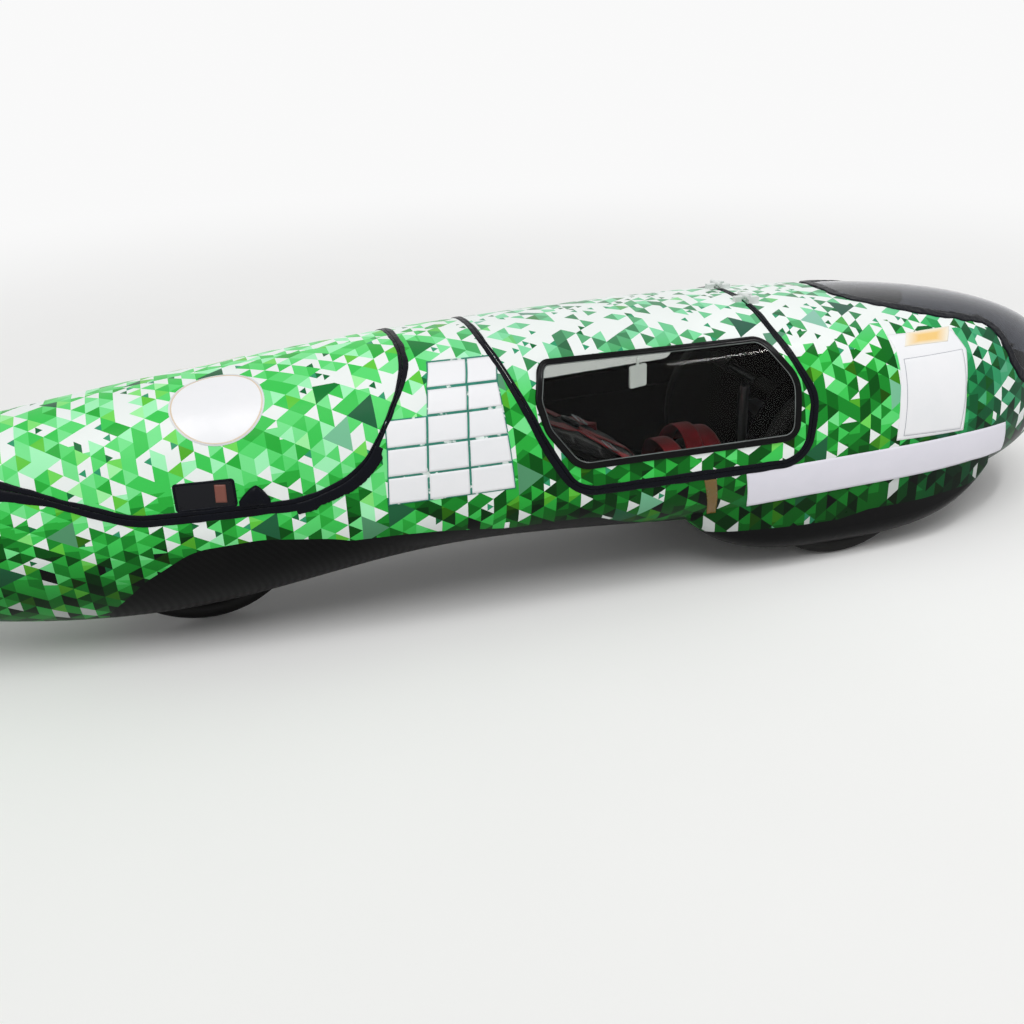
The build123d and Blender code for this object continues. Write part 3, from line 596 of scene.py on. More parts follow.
def coat(name):
    # the wrap lies on the outward faces and on the tail's tip, the plain finish on the rest
    mesh = nodes[name].data
    rest = "tyreRubber" if "tyre" in name else "wheelBlack" if "wheel" in name else "hingeWhite"
    mesh.materials.clear()
    mesh.materials.append(finishes[finishOf.get(name, rest)])
    if name in ("hull", "door", "tail_lid"):
        mesh.materials.append(finishes["wrapFilm"])
        centre = readAll(mesh.polygons, "center", 3) - [0, 0, midHeight]
        normal = readAll(mesh.polygons, "normal", 3)
        outward = (centre[:, 1:] * normal[:, 1:]).sum(1) / np.hypot(centre[:, 1], centre[:, 2])
        atTail = (centre[:, 0] < cadLow[0] + cover["tailEnd"]) & (normal[:, 0] < cover["tailFacing"])
        wrapped = (outward > cover["outward"]) | atTail
        mesh.polygons.foreach_set("material_index", wrapped.astype(np.int32))


for name in nodes:
    coat(name)
print("finishes on:", len(finishes))


# mesh helpers: a grid is its points worked out as whole arrays, and its faces
def gridFaces(rows, cols, roundRows=False, roundCols=False):
    # quads between neighbouring points of a grid, closed round where asked
    i, j = np.meshgrid(np.arange(rows - (not roundRows)), np.arange(cols - (not roundCols)), indexing="ij")
    down, along = (i + 1) % rows, (j + 1) % cols
    return np.stack([i * cols + j, i * cols + along, down * cols + along, down * cols + j], -1).reshape(-1, 4)


def joinGrids(grids):
    # several grids as one
    grids = list(grids)
    starts = np.cumsum([0] + [len(points) for points, _ in grids[:-1]])
    return (np.concatenate([points for points, _ in grids]),
            np.concatenate([faces + start for (_, faces), start in zip(grids, starts)]))


def faceOut(points, faces):
    # turns the faces over when most of them look towards the body's axis
    corners = points[faces[:, :3]]
    normal = np.cross(corners[:, 1] - corners[:, 0], corners[:, 2] - corners[:, 0])
    outward = corners.mean(1) - [0, 0, midHeight]
    return faces if (normal[:, 1:] * outward[:, 1:]).sum() > 0 else faces[:, ::-1]


def closeOut(points, faces):
    # turns the faces of a closed form over when its volume comes out negative
    a, b, c, d = (points[faces[:, k]] - points.mean(0) for k in range(4))
    volume = (np.cross(a, b) * c).sum() + (np.cross(a, c) * d).sum()
    return faces if volume > 0 else faces[:, ::-1]


def skinGrid(x, turn, lift, **closed):
    # a grid on the skin, each point at its own lift
    points = skinPoint(x, turn, lift).reshape(-1, 3)
    return points, faceOut(points, gridFaces(*lift.shape, **closed))


def plainMesh(name, points, faces):
    mesh = bpy.data.meshes.new(name)
    mesh.from_pydata(np.asarray(points).reshape(-1, 3).tolist(), [], np.asarray(faces).tolist())
    return mesh


def makePiece(name, grid, body, finish, standsFor=(), uv=None):
    mesh = plainMesh(name, *grid)
    mesh.polygons.foreach_set("use_smooth", np.ones(len(mesh.polygons), bool))
    if uv is not None:
        corner = readAll(mesh.loops, "vertex_index", 1, np.int32)[:, 0]
        mesh.uv_layers.new(name="alongAcross").data.foreach_set("uv", np.reshape(uv, (-1, 2))[corner].ravel())
    merged = bmesh.new()
    merged.from_mesh(mesh)
    bmesh.ops.remove_doubles(merged, verts=merged.verts, dist=1e-6)        # closes poles and joins
    merged.to_mesh(mesh)
    merged.free()
    mesh.materials.append(finishes[finish])
    mesh.update()
    piece = addObject(name, mesh)
    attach(piece, body)
    if standsFor:
        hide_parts(*standsFor)


def spacedOut(line, spacing, more=0):
    # places along a line and the lengths of its own points, both measured along it
    length = np.concatenate([[0], np.cumsum(np.linalg.norm(np.diff(line, axis=0), axis=1))])
    return np.linspace(0, length[-1], int(length[-1] / spacing) + more), length


pathSpacing = 0.004


def roundedPath(corners, radii, spacing=pathSpacing):
    # straight runs between corners, each inner corner an arc tangent to both runs, sampled evenly
    corners = np.array(corners, float)
    pieces = [corners[:1]]
    for before, corner, after, radius in zip(corners, corners[1:], corners[2:], radii):
        back = (before - corner) / np.linalg.norm(before - corner)
        on = (after - corner) / np.linalg.norm(after - corner)
        half = np.arccos(np.clip(back @ on, -1, 1)) / 2
        centre = corner + (back + on) / np.linalg.norm(back + on) * radius / math.sin(half)
        start, end = corner + back * radius / math.tan(half), corner + on * radius / math.tan(half)
        share = np.linspace(0, 1, 25)[:, None]
        arc = start * (1 - share) + end * share - centre
        pieces.append(centre + arc / np.linalg.norm(arc, axis=1, keepdims=True) * radius)
    pieces.append(corners[-1:])
    line = np.concatenate(pieces)
    places, length = spacedOut(line, spacing)
    return np.stack([np.interp(places, length, line[:, axis]) for axis in (0, 1)], -1)


seamEnds = {"under": 0.003, "nose": 1.606, "count": 30}      # where a seam's side line gives way to the roof


def seamPath(corners, radii):
    # right half of a seam as (x, turn), from the roof's middle round the side and up or out at its other end
    line = roundedPath(corners, radii)
    roof = midHeight + skinRadius(line[:, 0], np.full(len(line), np.pi / 2))
    line = line[(line[:, 1] < roof - seamEnds["under"]) & (line[:, 0] < seamEnds["nose"])]
    x, turn = line[:, 0], turnAt(line[:, 0], line[:, 1])
    over = np.linspace(np.pi / 2, turn[0], seamEnds["count"])[:-1]
    x, turn = np.concatenate([np.full(len(over), x[0]), x]), np.concatenate([over, turn])
    if corners[-1][0] < seamEnds["nose"]:
        back = np.linspace(turn[-1], np.pi / 2, seamEnds["count"])[1:]
        x, turn = np.concatenate([x, np.full(len(back), x[-1])]), np.concatenate([turn, back])
    places, length = spacedOut(skinPoint(x, turn), pathSpacing, 1)
    return np.interp(places, length, x), np.interp(places, length, turn)


def wavy(count, seed, size, waves=(3, 60), turns=24):
    # smooth random wave that closes on itself: sines of whole periods with random phase
    random = np.random.default_rng(seed)
    share = np.arange(count) / count
    periods = random.integers(*waves, turns)
    phases = random.uniform(0, 2 * np.pi, turns)
    return size * np.sin(2 * np.pi * periods * share[:, None] + phases).sum(1) / math.sqrt(turns)


def rumple(count, share, seed, size, waves):
    # small waves along a strip that die away at its two edges
    return wavy(count, seed, size, waves)[:, None] * np.sin(np.pi * share) ** 2


def ribbonGrid(path, low, high, lift, closed=True):
    # band beside a path on the skin: each row crosses it squarely from offset low to high, at its own heights
    x, turn = path
    point = skinPoint(x, turn)
    step = np.roll(point, -1, 0) - np.roll(point, 1, 0) if closed else np.gradient(point, axis=0)
    across = np.cross(step, skinPoint(x, turn, 0.01) - point)
    across /= np.linalg.norm(across, axis=1, keepdims=True)
    if (across * (point - point.mean(0))).sum() < 0:
        across = -across
    share = np.linspace(0, 1, lift.shape[1])
    low, high = (np.broadcast_to(edge, len(x))[:, None] for edge in (low, high))
    place = point[:, None] + across[:, None] * (low + (high - low) * share)[..., None]
    spot = np.arctan2(place[..., 2] - midHeight, place[..., 1])
    return skinGrid(place[..., 0], spot, lift, roundRows=closed)


def edgeDown(share, top, sink=0.0004, sharp=8):
    # height across a strip: level at top, falling just under the skin at both edges
    return (top + sink) * (1 - np.abs(2 * share - 1) ** sharp) - sink


# panel outlines seen from the side, as the body's own seams: corners x, z and the radius at each inner corner
seams = {
    "door": [(0.0, 0.72), (0.007, 0.612), (0.096, 0.4), (0.158, 0.296), (0.7, 0.296), (0.722, 0.44),
             (0.662, 0.578), (0.664, 0.72)],
    "lid": [(-0.166, 0.72), (-0.166, 0.596), (-0.312, 0.396), (-0.43, 0.356), (-0.76, 0.356), (-0.94, 0.425),
            (-1.2, 0.5), (-1.2, 0.72)],
    "canopy": [(0.886, 0.72), (0.886, 0.604), (1.292, 0.514), (1.322, 0.398), (1.42, 0.35), (1.72, 0.33)],
    "window": [(0.090, 0.469), (0.084, 0.5), (0.108, 0.567), (0.632, 0.563), (0.69, 0.48), (0.676, 0.352),
               (0.16, 0.35), (0.096, 0.438), (0.090, 0.469)]}
radii = {"door": [0.15, 0.26, 0.085, 0.07, 0.08, 0.06], "lid": [0.11, 0.18, 0.2, 0.2, 0.2, 0.012],
         "canopy": [0.014, 0.07, 0.11, 0.11], "window": [0.04, 0.03, 0.05, 0.07, 0.034, 0.06, 0.06]}

# black tape along the seams: a strip each side of every gap, cut and pressed down by hand
tape = {"gap": 0.0004, "bodyWidth": 0.0135, "panelWidth": 0.0085, "wander": 0.0008, "height": 0.0021,
        "panelHeight": 0.85, "wrinkle": 0.00025, "wrinkles": (20, 160), "columns": 9, "sink": 0.0006,
        "sharp": 10, "seamShare": 0.4,
        # name, body, node and seed of each strip
        "strips": (("door", "hatch", "door_tape", 3), ("lid", "lid", "lid_tape", 17)),
        "doorWidths": [(0.30, 1.1), (0.45, 1.0), (0.60, 0.8)],                # share of the width by height
        "lidWidths": [(0.355, 1.25), (0.39, 1.15), (0.44, 0.6), (0.53, 0.58), (0.58, 0.95)],
        # least share of the width by x: the lid's rear is taped more broadly
        "doorEnds": [(-1.0, 0.0), (1.0, 0.0)], "lidEnds": [(-1.0, 1.9), (-0.8, 0.0)]}
canopyTape = {"half": 0.0155, "height": 0.0029, "sink": 0.0005, "sharp": 14, "columns": 13,
              "low": (31, 0.0014), "high": (32, 0.0022), "rumple": (33, 0.0003, (30, 200))}
# x of each pair of hinges and half the distance between them, the room they need, and how high they sit
hinges = {"door": (0.666, 0.070), "lid": (-1.206, 0.036), "room": (0.028, 0.026), "above": 0.4}


def tapeStrip(path, near, far, height, seed, name):
    # strip from near to far beside the seam; its far edge wanders and its surface is lightly rumpled
    count = len(path[0])
    share = np.linspace(0, 1, tape["columns"])
    edge = far + wavy(count, seed, tape["wander"])
    fall = share ** tape["sharp"]
    lift = height * (1 - fall) - tape["sink"] * fall
    lift = lift + rumple(count, share, seed + 1, tape["wrinkle"], tape["wrinkles"])
    lift[:, 0] = height * tape["seamShare"]
    points, faces = ribbonGrid(path, near, edge, lift)
    # it stops short of the two hinges on the roof
    x, apart = hinges[name]
    middle = points[faces].mean(1)
    away = np.stack([np.abs(middle[:, 0] - x), np.abs(np.abs(middle[:, 1]) - apart)], -1)
    atHinge = (away < hinges["room"]).all(1) & (middle[:, 2] > hinges["above"])
    return points, faces[~atHinge]


def makeTapes():
    # each seam's right half and its mirror image joined into one path, with a strip outside and one inside it
    for name, body, node, seed in tape["strips"]:
        x, turn = seamPath(seams[name], radii[name])
        path = np.concatenate([x, x[-2:0:-1]]), np.concatenate([turn, np.pi - turn[-2:0:-1]])
        share = np.interp(skinPoint(*path)[:, 2], *np.array(tape[f"{name}Widths"]).T)
        share = np.maximum(share, np.interp(path[0], *np.array(tape[f"{name}Ends"]).T))
        outer = tapeStrip(path, tape["gap"], tape["bodyWidth"] * share, tape["height"], seed, name)
        height = tape["height"] * tape["panelHeight"]
        inner = tapeStrip(path, -tape["gap"], -tape["panelWidth"] * share, height, seed + 5, name)
        makePiece(f"{name}SeamTape", outer, "chassis", "blackTape", (node,))
        makePiece(f"{name}EdgeTape", inner, body, "blackTape")
    x, turn = seamPath(seams["canopy"], radii["canopy"])
    path = np.concatenate([x[::-1], x[1:]]), np.concatenate([turn[::-1], np.pi - turn[1:]])
    count = len(path[0])
    share = np.linspace(0, 1, canopyTape["columns"])
    low = wavy(count, *canopyTape["low"]) - canopyTape["half"]
    high = wavy(count, *canopyTape["high"]) + canopyTape["half"]
    lift = edgeDown(share, canopyTape["height"], canopyTape["sink"], canopyTape["sharp"])
    band = ribbonGrid(path, low, high, lift + rumple(count, share, *canopyTape["rumple"]), closed=False)
    makePiece("canopySeamTape", band, "chassis", "blackTape", ("canopy_tape",))


makeTapes()

# wider patch of tape stuck over the lid's seam, with a stepped end
lidPatch = {"from": -0.446, "to": -0.266, "below": 0.5, "low": -0.001, "high": 0.026, "height": 0.0031,
            "columns": 13, "sink": 0.0005, "sharp": 8, "edge": (41, 0.0006), "rumple": (42, 0.0004, (4, 26)),
            "steps": [(0, 0.7), (0.06, 0.75), (0.08, 1.0), (0.5, 1.0), (0.52, 0.9), (0.8, 0.86), (0.82, 1.04),
                      (1.0, 1.0)]}


def makeLidPatch():
    # the lid's seam between two places, its outer edge cut in steps, on both sides of the body
    x, turn = seamPath(seams["lid"], radii["lid"])
    z = skinPoint(x, turn)[:, 2]
    keep = (x > lidPatch["from"]) & (x < lidPatch["to"]) & (z < lidPatch["below"])
    x, turn = x[keep], turn[keep]
    count = len(x)
    share = np.linspace(0, 1, lidPatch["columns"])
    step = np.interp(np.linspace(0, 1, count), *np.array(lidPatch["steps"]).T)
    low, high = lidPatch["low"], lidPatch["high"] * step + wavy(count, *lidPatch["edge"])
    lift = edgeDown(share, lidPatch["height"], lidPatch["sink"], lidPatch["sharp"])
    lift = lift + rumple(count, share, *lidPatch["rumple"])
    lift[[0, -1]] = -lidPatch["sink"]
    grids = joinGrids(ribbonGrid((x, angle), low, high, lift, closed=False) for angle in (turn, np.pi - turn))
    makePiece("lidSeamPatch", grids, "chassis", "blackTape")


makeLidPatch()
print("tapes laid")

# raised black surround of each window: a rounded bead outside, a thin lip down to the pane inside, painted
# grey as a highlight
surround = {"inner": 0.0095, "outer": 0.0052, "height": 0.0042, "columns": 17, "spacing": 0.003,
            "rumple": (51, 0.00012, (10, 60)),
            "lip": 0.0022, "lipOver": 0.0004, "lipRise": 0.0016, "lipSink": 0.0002, "lipColumns": 7,
            # share of the height by millimetres from the window's line
            "bead": [(-9.5, -0.1), (-9.0, 0.35), (-7.0, 0.5), (-4.0, 0.62), (-2.0, 0.86), (0.0, 1.0),
                     (2.2, 1.0), (4.2, 0.72), (5.2, -0.1)]}


def makeSurrounds():
    # bead: height across the band by its measured profile; lip: half a sine just inside it
    x, z = roundedPath(seams["window"], radii["window"], surround["spacing"])[:-1].T
    count = len(x)
    inner, outer = surround["inner"], surround["outer"]
    share = np.linspace(0, 1, surround["columns"])
    offset = -inner + (inner + outer) * share
    bead = surround["height"] * np.interp(offset * 1000, *np.array(surround["bead"]).T)
    lift = bead + rumple(count, share, *surround["rumple"])
    paths = [(x, turnAt(x, z, side)) for side in sides]
    beads = joinGrids(ribbonGrid(path, -inner, outer, lift) for path in paths)
    # a thin grey line inside the bead, coloured as a painted highlight along the pane's polished edge
    arch = np.sin(np.pi * np.linspace(0, 1, surround["lipColumns"]))
    rise = np.tile(surround["lipRise"] * arch - surround["lipSink"], (count, 1))
    low, high = -inner - surround["lip"], surround["lipOver"] - inner
    lips = joinGrids(ribbonGrid(path, low, high, rise) for path in paths)
    makePiece("windowSurrounds", beads, "hatch", "blackFrame", ("window_frames",))
    makePiece("paneEdgeHighlights", lips, "hatch", "edgeHighlightGrey")


makeSurrounds()
print("window surrounds on")
filmSink = -0.0006          # a film's rim lies just under the skin


def skirted(count):
    # even shares from 0 to 1 with both ends doubled, so that the outer ring can drop to the skin
    return np.concatenate([[0.0], np.linspace(0, 1, count - 2), [1.0]])


def patchGrid(left, right, rows, cols, height, side=-1):
    # film ruled between its left and right edges (x, z knots), straight in length and angle between them
    v, u = skirted(rows), skirted(cols)
    edges = []
    for knots in (left, right):
        places = np.linspace(0, 1, len(knots))
        x, z = (np.interp(v, places, axis) for axis in np.array(knots, float).T)
        edges.append((x[:, None], turnAt(x, z, side)[:, None]))
    x, turn = (first * (1 - u) + second * u for first, second in zip(*edges))
    lift = np.full(x.shape, height)
    lift[[0, -1]] = lift[:, [0, -1]] = filmSink
    return skinGrid(x, turn, lift)


# number plate, left blank: white sheet over the nose's shoulder, pale yellow bar above, framed field below
plate = {"sheet": ([(0.940, 0.306), (0.943, 0.354), (0.947, 0.405), (0.956, 0.465), (0.959, 0.508),
                    (0.951, 0.534)],
                   [(1.133, 0.300), (1.135, 0.350), (1.138, 0.400), (1.150, 0.450), (1.160, 0.480),
                    (1.142, 0.520)]),
         "field": ([(0.959, 0.315), (0.972, 0.485)], [(1.123, 0.306), (1.147, 0.482)]),
         "bar": ([(0.985, 0.508), (1.005, 0.531)], [(1.112, 0.502), (1.140, 0.526)]),
         "barGrid": (14, 40), "height": 0.0008, "upper": 0.0012,
         "line": {"width": 0.0022, "height": 0.00144, "sink": 0.0002, "sharp": 4, "points": 40, "columns": 5}}


def plateLine(start, end, side):
    # narrow band straight from start to end in the side view
    line = plate["line"]
    share = np.linspace(0, 1, line["points"])[:, None]
    x, z = (start * (1 - share) + end * share).T
    half = line["width"] / 2
    lift = edgeDown(np.linspace(0, 1, line["columns"]), line["height"], line["sink"], line["sharp"])
    lift = np.tile(lift, (line["points"], 1))
    return ribbonGrid((x, turnAt(x, z, side)), -half, half, lift, closed=False)


def makePlates():
    # three films one over the other and four lines round the field, on each side
    left, right = plate["field"]
    outline = np.array(left + right[::-1] + left[:1])
    lines = [plateLine(start, end, side) for side in sides for start, end in zip(outline, outline[1:])]
    v, u = np.meshgrid(*(skirted(count) for count in plate["barGrid"]), indexing="ij")
    barMap = np.tile(np.stack([u, v], -1).reshape(-1, 2), (2, 1))
    for name, edges, size, height, finish, uv in (
            ("plateSheet", plate["sheet"], (44, 44), plate["height"], "plateWhite", None),
            ("plateField", plate["field"], (34, 40), plate["upper"], "plateWhite", None),
            ("plateBar", plate["bar"], plate["barGrid"], plate["upper"], "plateYellow", barMap)):
        grids = joinGrids(patchGrid(*edges, *size, height, side) for side in sides)
        makePiece(name, grids, "chassis", finish, uv=uv)
    makePiece("plateLines", joinGrids(lines), "chassis", "plateGrey")


makePlates()

# long white strip under the window's front end, also blank: lower and upper edge
strip = {"edges": ([(0.573, 0.189), (0.720, 0.196), (0.870, 0.198), (1.020, 0.198), (1.200, 0.201),
                    (1.318, 0.194)],
                   [(0.554, 0.283), (0.700, 0.289), (0.850, 0.290), (1.000, 0.290), (1.140, 0.291),
                    (1.283, 0.288)]),
         "size": (120, 16), "height": 0.0008}
stripGrids = joinGrids(patchGrid(*strip["edges"], *strip["size"], strip["height"], side) for side in sides)
makePiece("sideStrip", stripGrids, "chassis", "stripWhite")

# block of blank white panels behind the door, on a teal ground that shows between them: heights of the lines
# between rows, and x of each upright line at each of those heights
panels = {"rows": [0.5855, 0.5445, 0.4985, 0.4445, 0.3865, 0.3270],
          "lines": [[-0.238, -0.240, -0.243, -0.247, -0.253, -0.257],
                    [-0.126, -0.143, -0.154, -0.162, -0.168, -0.171],
                    [-0.042, -0.057, -0.067, -0.075, -0.079, -0.081],
                    [0.024, 0.010, 0.009, 0.011, 0.014, 0.017]],
          "firstRow": [2, 0, 0], "gap": 0.0024,
          "groundForm": (12, 14, 0.00072), "sheetForm": (14, 18, 0.0012)}        # rows, columns and height


def panelGrid(column, row, side, gap, rows, cols, height):
    # one panel between its four lines, drawn in by the gap
    left, right = panels["lines"][column], panels["lines"][column + 1]
    top, bottom = panels["rows"][row] - gap, panels["rows"][row + 1] + gap
    return patchGrid([(left[row + 1] + gap, bottom), (left[row] + gap, top)],
                     [(right[row + 1] - gap, bottom), (right[row] - gap, top)], rows, cols, height, side)


def makePanels():
    # every cell twice: edge to edge as ground, and drawn in as its white sheet
    cells = [(column, row, side) for side in sides for column, first in enumerate(panels["firstRow"])
             for row in range(first, len(panels["rows"]) - 1)]
    ground = joinGrids(panelGrid(*cell, 0.0, *panels["groundForm"]) for cell in cells)
    sheets = joinGrids(panelGrid(*cell, panels["gap"], *panels["sheetForm"]) for cell in cells)
    makePiece("panelGround", ground, "chassis", "panelTeal")
    makePiece("panelSheets", sheets, "chassis", "plateWhite")


makePanels()

# plain disc on each shoulder of the tail lid, with a faint ring near its rim
disc = {"centre": (-0.565, 0.552), "radius": 0.104, "ring": (0.089, 0.0935), "height": 0.0007,
        "ringHeight": 0.00105, "ringEdge": 0.0003, "rings": 14, "ringRings": 5, "spokes": 96}


def discGrid(inner, outer, height, side, rings):
    # radius and angle on the skin: along the body by length, round it by arc over the local radius
    x, z = (np.array([value]) for value in disc["centre"])
    centre = turnAt(x, z, side)
    local = skinRadius(x, centre)[0]
    angles = np.linspace(0, 2 * np.pi, disc["spokes"], endpoint=False)
    radius, angle = np.meshgrid(np.linspace(inner, outer, rings), angles, indexing="ij")
    radius[-1] = radius[-2]
    lift = np.full(radius.shape, height)
    lift[-1] = filmSink
    if inner > 0:
        lift[0] = disc["ringEdge"]
    turn = centre[0] + radius * np.sin(angle) / local
    return skinGrid(x[0] + radius * np.cos(angle), turn, lift, roundCols=True)


def makeDiscs():
    # a full disc and a narrow ring a little above it
    face = joinGrids(discGrid(0.0, disc["radius"], disc["height"], side, disc["rings"]) for side in sides)
    ring = joinGrids(discGrid(*disc["ring"], disc["ringHeight"], side, disc["ringRings"]) for side in sides)
    makePiece("lidDisc", face, "lid", "plateWhite")
    makePiece("lidDiscRing", ring, "lid", "ringTan")


makeDiscs()

# small films: brown tape under the window, a white tab by the door, the label in the service panel
films = {
    "brownTape": ([(0.478, 0.181), (0.452, 0.281)], [(0.499, 0.182), (0.481, 0.281)], 24, 8, "chassis",
                  "tapeBrown"),
    "whiteTab": ([(-0.006, 0.226), (-0.006, 0.243)], [(0.005, 0.226), (0.004, 0.243)], 6, 6, "chassis",
                 "plateWhite"),
    "panelLabel": ([(-0.599, 0.378), (-0.597, 0.414)], [(-0.577, 0.376), (-0.575, 0.412)], 12, 8, "lid",
                   "labelRust")}
filmHeight = 0.0014
for name, (left, right, rows, cols, body, finish) in films.items():
    makePiece(name, patchGrid(left, right, rows, cols, filmHeight), body, finish)
print("films on")

# humps of tape over the two lid latches
hump = {"x": -0.5235, "halfWidth": 0.0315, "bottom": 0.3605, "shoulder": 0.374, "rise": 0.030,
        "height": 0.0098, "lean": 0.003, "crease": 0.0005, "sink": 0.0004}


def makeHumps():
    # outline pointed at the top; height falls off as an ellipse towards its rim, with a few creases
    v, u = np.meshgrid(np.linspace(-1, 1, 25), np.linspace(-1, 1, 33), indexing="ij")
    top = hump["shoulder"] + hump["rise"] * (1 - np.abs(u) ** 1.5)
    x = hump["x"] + hump["halfWidth"] * u + hump["lean"] * (v + 1) * (1 - np.abs(u))
    z = hump["bottom"] + (top - hump["bottom"]) * (v + 1) / 2
    dome = ((1 - np.abs(u) ** 2.4) * (1 - np.abs(v) ** 3)) ** 0.55
    lift = hump["height"] * dome + hump["crease"] * np.sin(9 * u + 4 * v) * dome - hump["sink"]
    grids = joinGrids(skinGrid(x, turnAt(x, z, side), lift) for side in sides)
    makePiece("latchHumps", grids, "lid", "blackTape", ("lid_latches",))


makeHumps()

# low lip round the service panel
lip = {"x": (-0.675, -0.560), "z": (0.368, 0.420), "corner": 0.004, "inner": 0.0022, "outer": 0.0034,
       "height": 0.0016, "sink": 0.0004, "sharp": 3, "columns": 9, "spacing": 0.002}


def makePanelLip():
    # closed rounded rectangle in the side view, from the middle of its lower edge
    (x0, x1), (z0, z1) = lip["x"], lip["z"]
    middle = ((x0 + x1) / 2, z0)
    corners = [middle, (x1, z0), (x1, z1), (x0, z1), (x0, z0), middle]
    line = roundedPath(corners, [lip["corner"]] * 4, lip["spacing"])[:-1]
    lift = edgeDown(np.linspace(0, 1, lip["columns"]), lip["height"], lip["sink"], lip["sharp"])
    lift = np.tile(lift, (len(line), 1))
    grid = ribbonGrid((line[:, 0], turnAt(*line.T)), -lip["inner"], lip["outer"], lift)
    makePiece("servicePanelLip", grid, "lid", "blackTape")


makePanelLip()
print("lid fittings on")


# forms carried along a path: the profile stands square to it, its first axis as near to across as it can be
def sweepGrid(points, across, profile, closed=False):
    points = np.asarray(points, float)
    along = np.roll(points, -1, 0) - np.roll(points, 1, 0) if closed else np.gradient(points, axis=0)
    along /= np.linalg.norm(along, axis=1, keepdims=True)
    aside = across - along * (along @ np.asarray(across, float))[:, None]
    aside /= np.linalg.norm(aside, axis=1, keepdims=True)
    above = np.cross(along, aside)
    shape = points[:, None] + aside[:, None] * profile[:, :1] + above[:, None] * profile[:, 1:]
    rows, cols = shape.shape[:2]
    faces = gridFaces(rows, cols, roundRows=closed, roundCols=True)
    flat = shape.reshape(-1, 3)
    if not closed:
        # each end is shut by quads across from one half of the profile to the other
        k = np.arange(cols // 2 - 1)
        end = np.stack([k, k + 1, cols - 2 - k, cols - 1 - k], -1)
        faces = np.concatenate([faces, end, (end + (rows - 1) * cols)[:, ::-1]])
    return flat, closeOut(flat, faces)


def webProfile(width, thickness):
    # flat strap: two long faces a little crowned, rounded edges
    share = np.linspace(-1, 1, 11)
    top = np.stack([share * width / 2, thickness / 2 * (1 - share ** 8) + 0.0002], -1)
    return np.concatenate([top, top[::-1] * [1, -1]])


def smoothLine(knots, count):
    # a Catmull-Rom line through its knots, evenly shared out
    knots = np.array(knots, float)
    padded = np.concatenate([2 * knots[:1] - knots[1:2], knots, 2 * knots[-1:] - knots[-2:-1]])
    place = np.linspace(0, len(knots) - 1.0001, count)
    i = place.astype(int)
    t = (place - i)[:, None]
    a, b, c, d = (padded[i + k] for k in range(4))
    square, cube = 2 * a - 5 * b + 4 * c - d, 3 * b - a - 3 * c + d
    return 0.5 * (2 * b + (c - a) * t + square * t ** 2 + cube * t ** 3)


def latheGrid(centre, axis, profile, count):
    # profile rows (distance along the axis, radius) turned right round it
    axis = np.array(axis, float) / np.linalg.norm(axis)
    first = np.cross(axis, [0.0, 0.0, 1.0] if abs(axis[2]) < 0.9 else [1.0, 0.0, 0.0])
    first /= np.linalg.norm(first)
    second = np.cross(axis, first)
    angle = np.linspace(0, 2 * np.pi, count, endpoint=False)
    ring = np.cos(angle)[:, None] * first + np.sin(angle)[:, None] * second
    profile = np.asarray(profile, float)
    shape = np.array(centre) + profile[:, None, :1] * axis + profile[:, None, 1:] * ring
    points = shape.reshape(-1, 3)
    return points, closeOut(points, gridFaces(len(profile), count, roundCols=True))


# seat padding, in the seat's own directions: along it, across it and out of it
pads = {
    "backCushion": {"node": "back_cushion", "start": (-0.055, 0.470), "end": (0.5, 0.1613), "near": 0.068,
                    "length": 0.465, "width": 0.290, "thick": 0.0283, "fill": 0.72, "channels": 6,
                    "inset": 0.008, "cap": 0.009, "voxel": 0.0055},
    "baseCushion": {"node": "base_cushion", "start": (0.56, 0.1613), "end": (0.665, 0.2033), "near": 0.034,
                    "length": 0.073, "width": 0.290, "thick": 0.0283, "fill": 0.72, "channels": 0,
                    "inset": 0.006, "cap": 0.008, "voxel": 0.0055}}
headPad = {"node": "headrest", "back": -0.0594, "low": 0.505, "length": 0.080, "width": 0.186,
           "thick": 0.0444, "fill": 0.78, "inset": 0.007, "cap": 0.008, "voxel": 0.00495, "seamAt": 0.3,
           "seamDepth": 0.006, "seamWidth": 0.005, "front": 0.5}
puffing = {"form": (24, 48), "pressure": 4.0, "frames": 20, "mass": 0.3, "quality": 6}
sewing = {"width": 0.0055, "depth": 0.0075, "rest": 0.0006, "wave": 0.0004, "waves": 40, "front": 0.45,
          "under": 0.0004, "room": 0.0005}


def boxForm(length, width, thick):
    # rounded box as one closed grid: a superellipse of latitude and longitude, its poles shut
    rows, cols = puffing["form"]
    turns = np.linspace(0, 2 * np.pi, cols, endpoint=False)
    lat, lon = np.meshgrid(np.linspace(-np.pi / 2, np.pi / 2, rows), turns, indexing="ij")

    def power(value, level):
        return np.sign(value) * np.abs(value) ** level

    across = power(np.cos(lat), 0.35)
    axes = (length / 2 * across * power(np.cos(lon), 0.22), width / 2 * across * power(np.sin(lon), 0.22),
            thick / 2 * power(np.sin(lat), 0.6))
    points = np.stack(axes, -1).reshape(-1, 3)
    return points, closeOut(points, gridFaces(rows, cols, roundCols=True))


def evenMesh(points, faces, voxel):
    # the same form in small even squares
    form = addObject("evenForm", plainMesh("evenForm", points, faces))
    remesh = form.modifiers.new("even", "REMESH")
    remesh.mode = "VOXEL"
    remesh.voxel_size = voxel
    depth = bpy.context.evaluated_depsgraph_get()
    even = bpy.data.meshes.new_from_object(form.evaluated_get(depth))
    bpy.data.objects.remove(form)
    return even


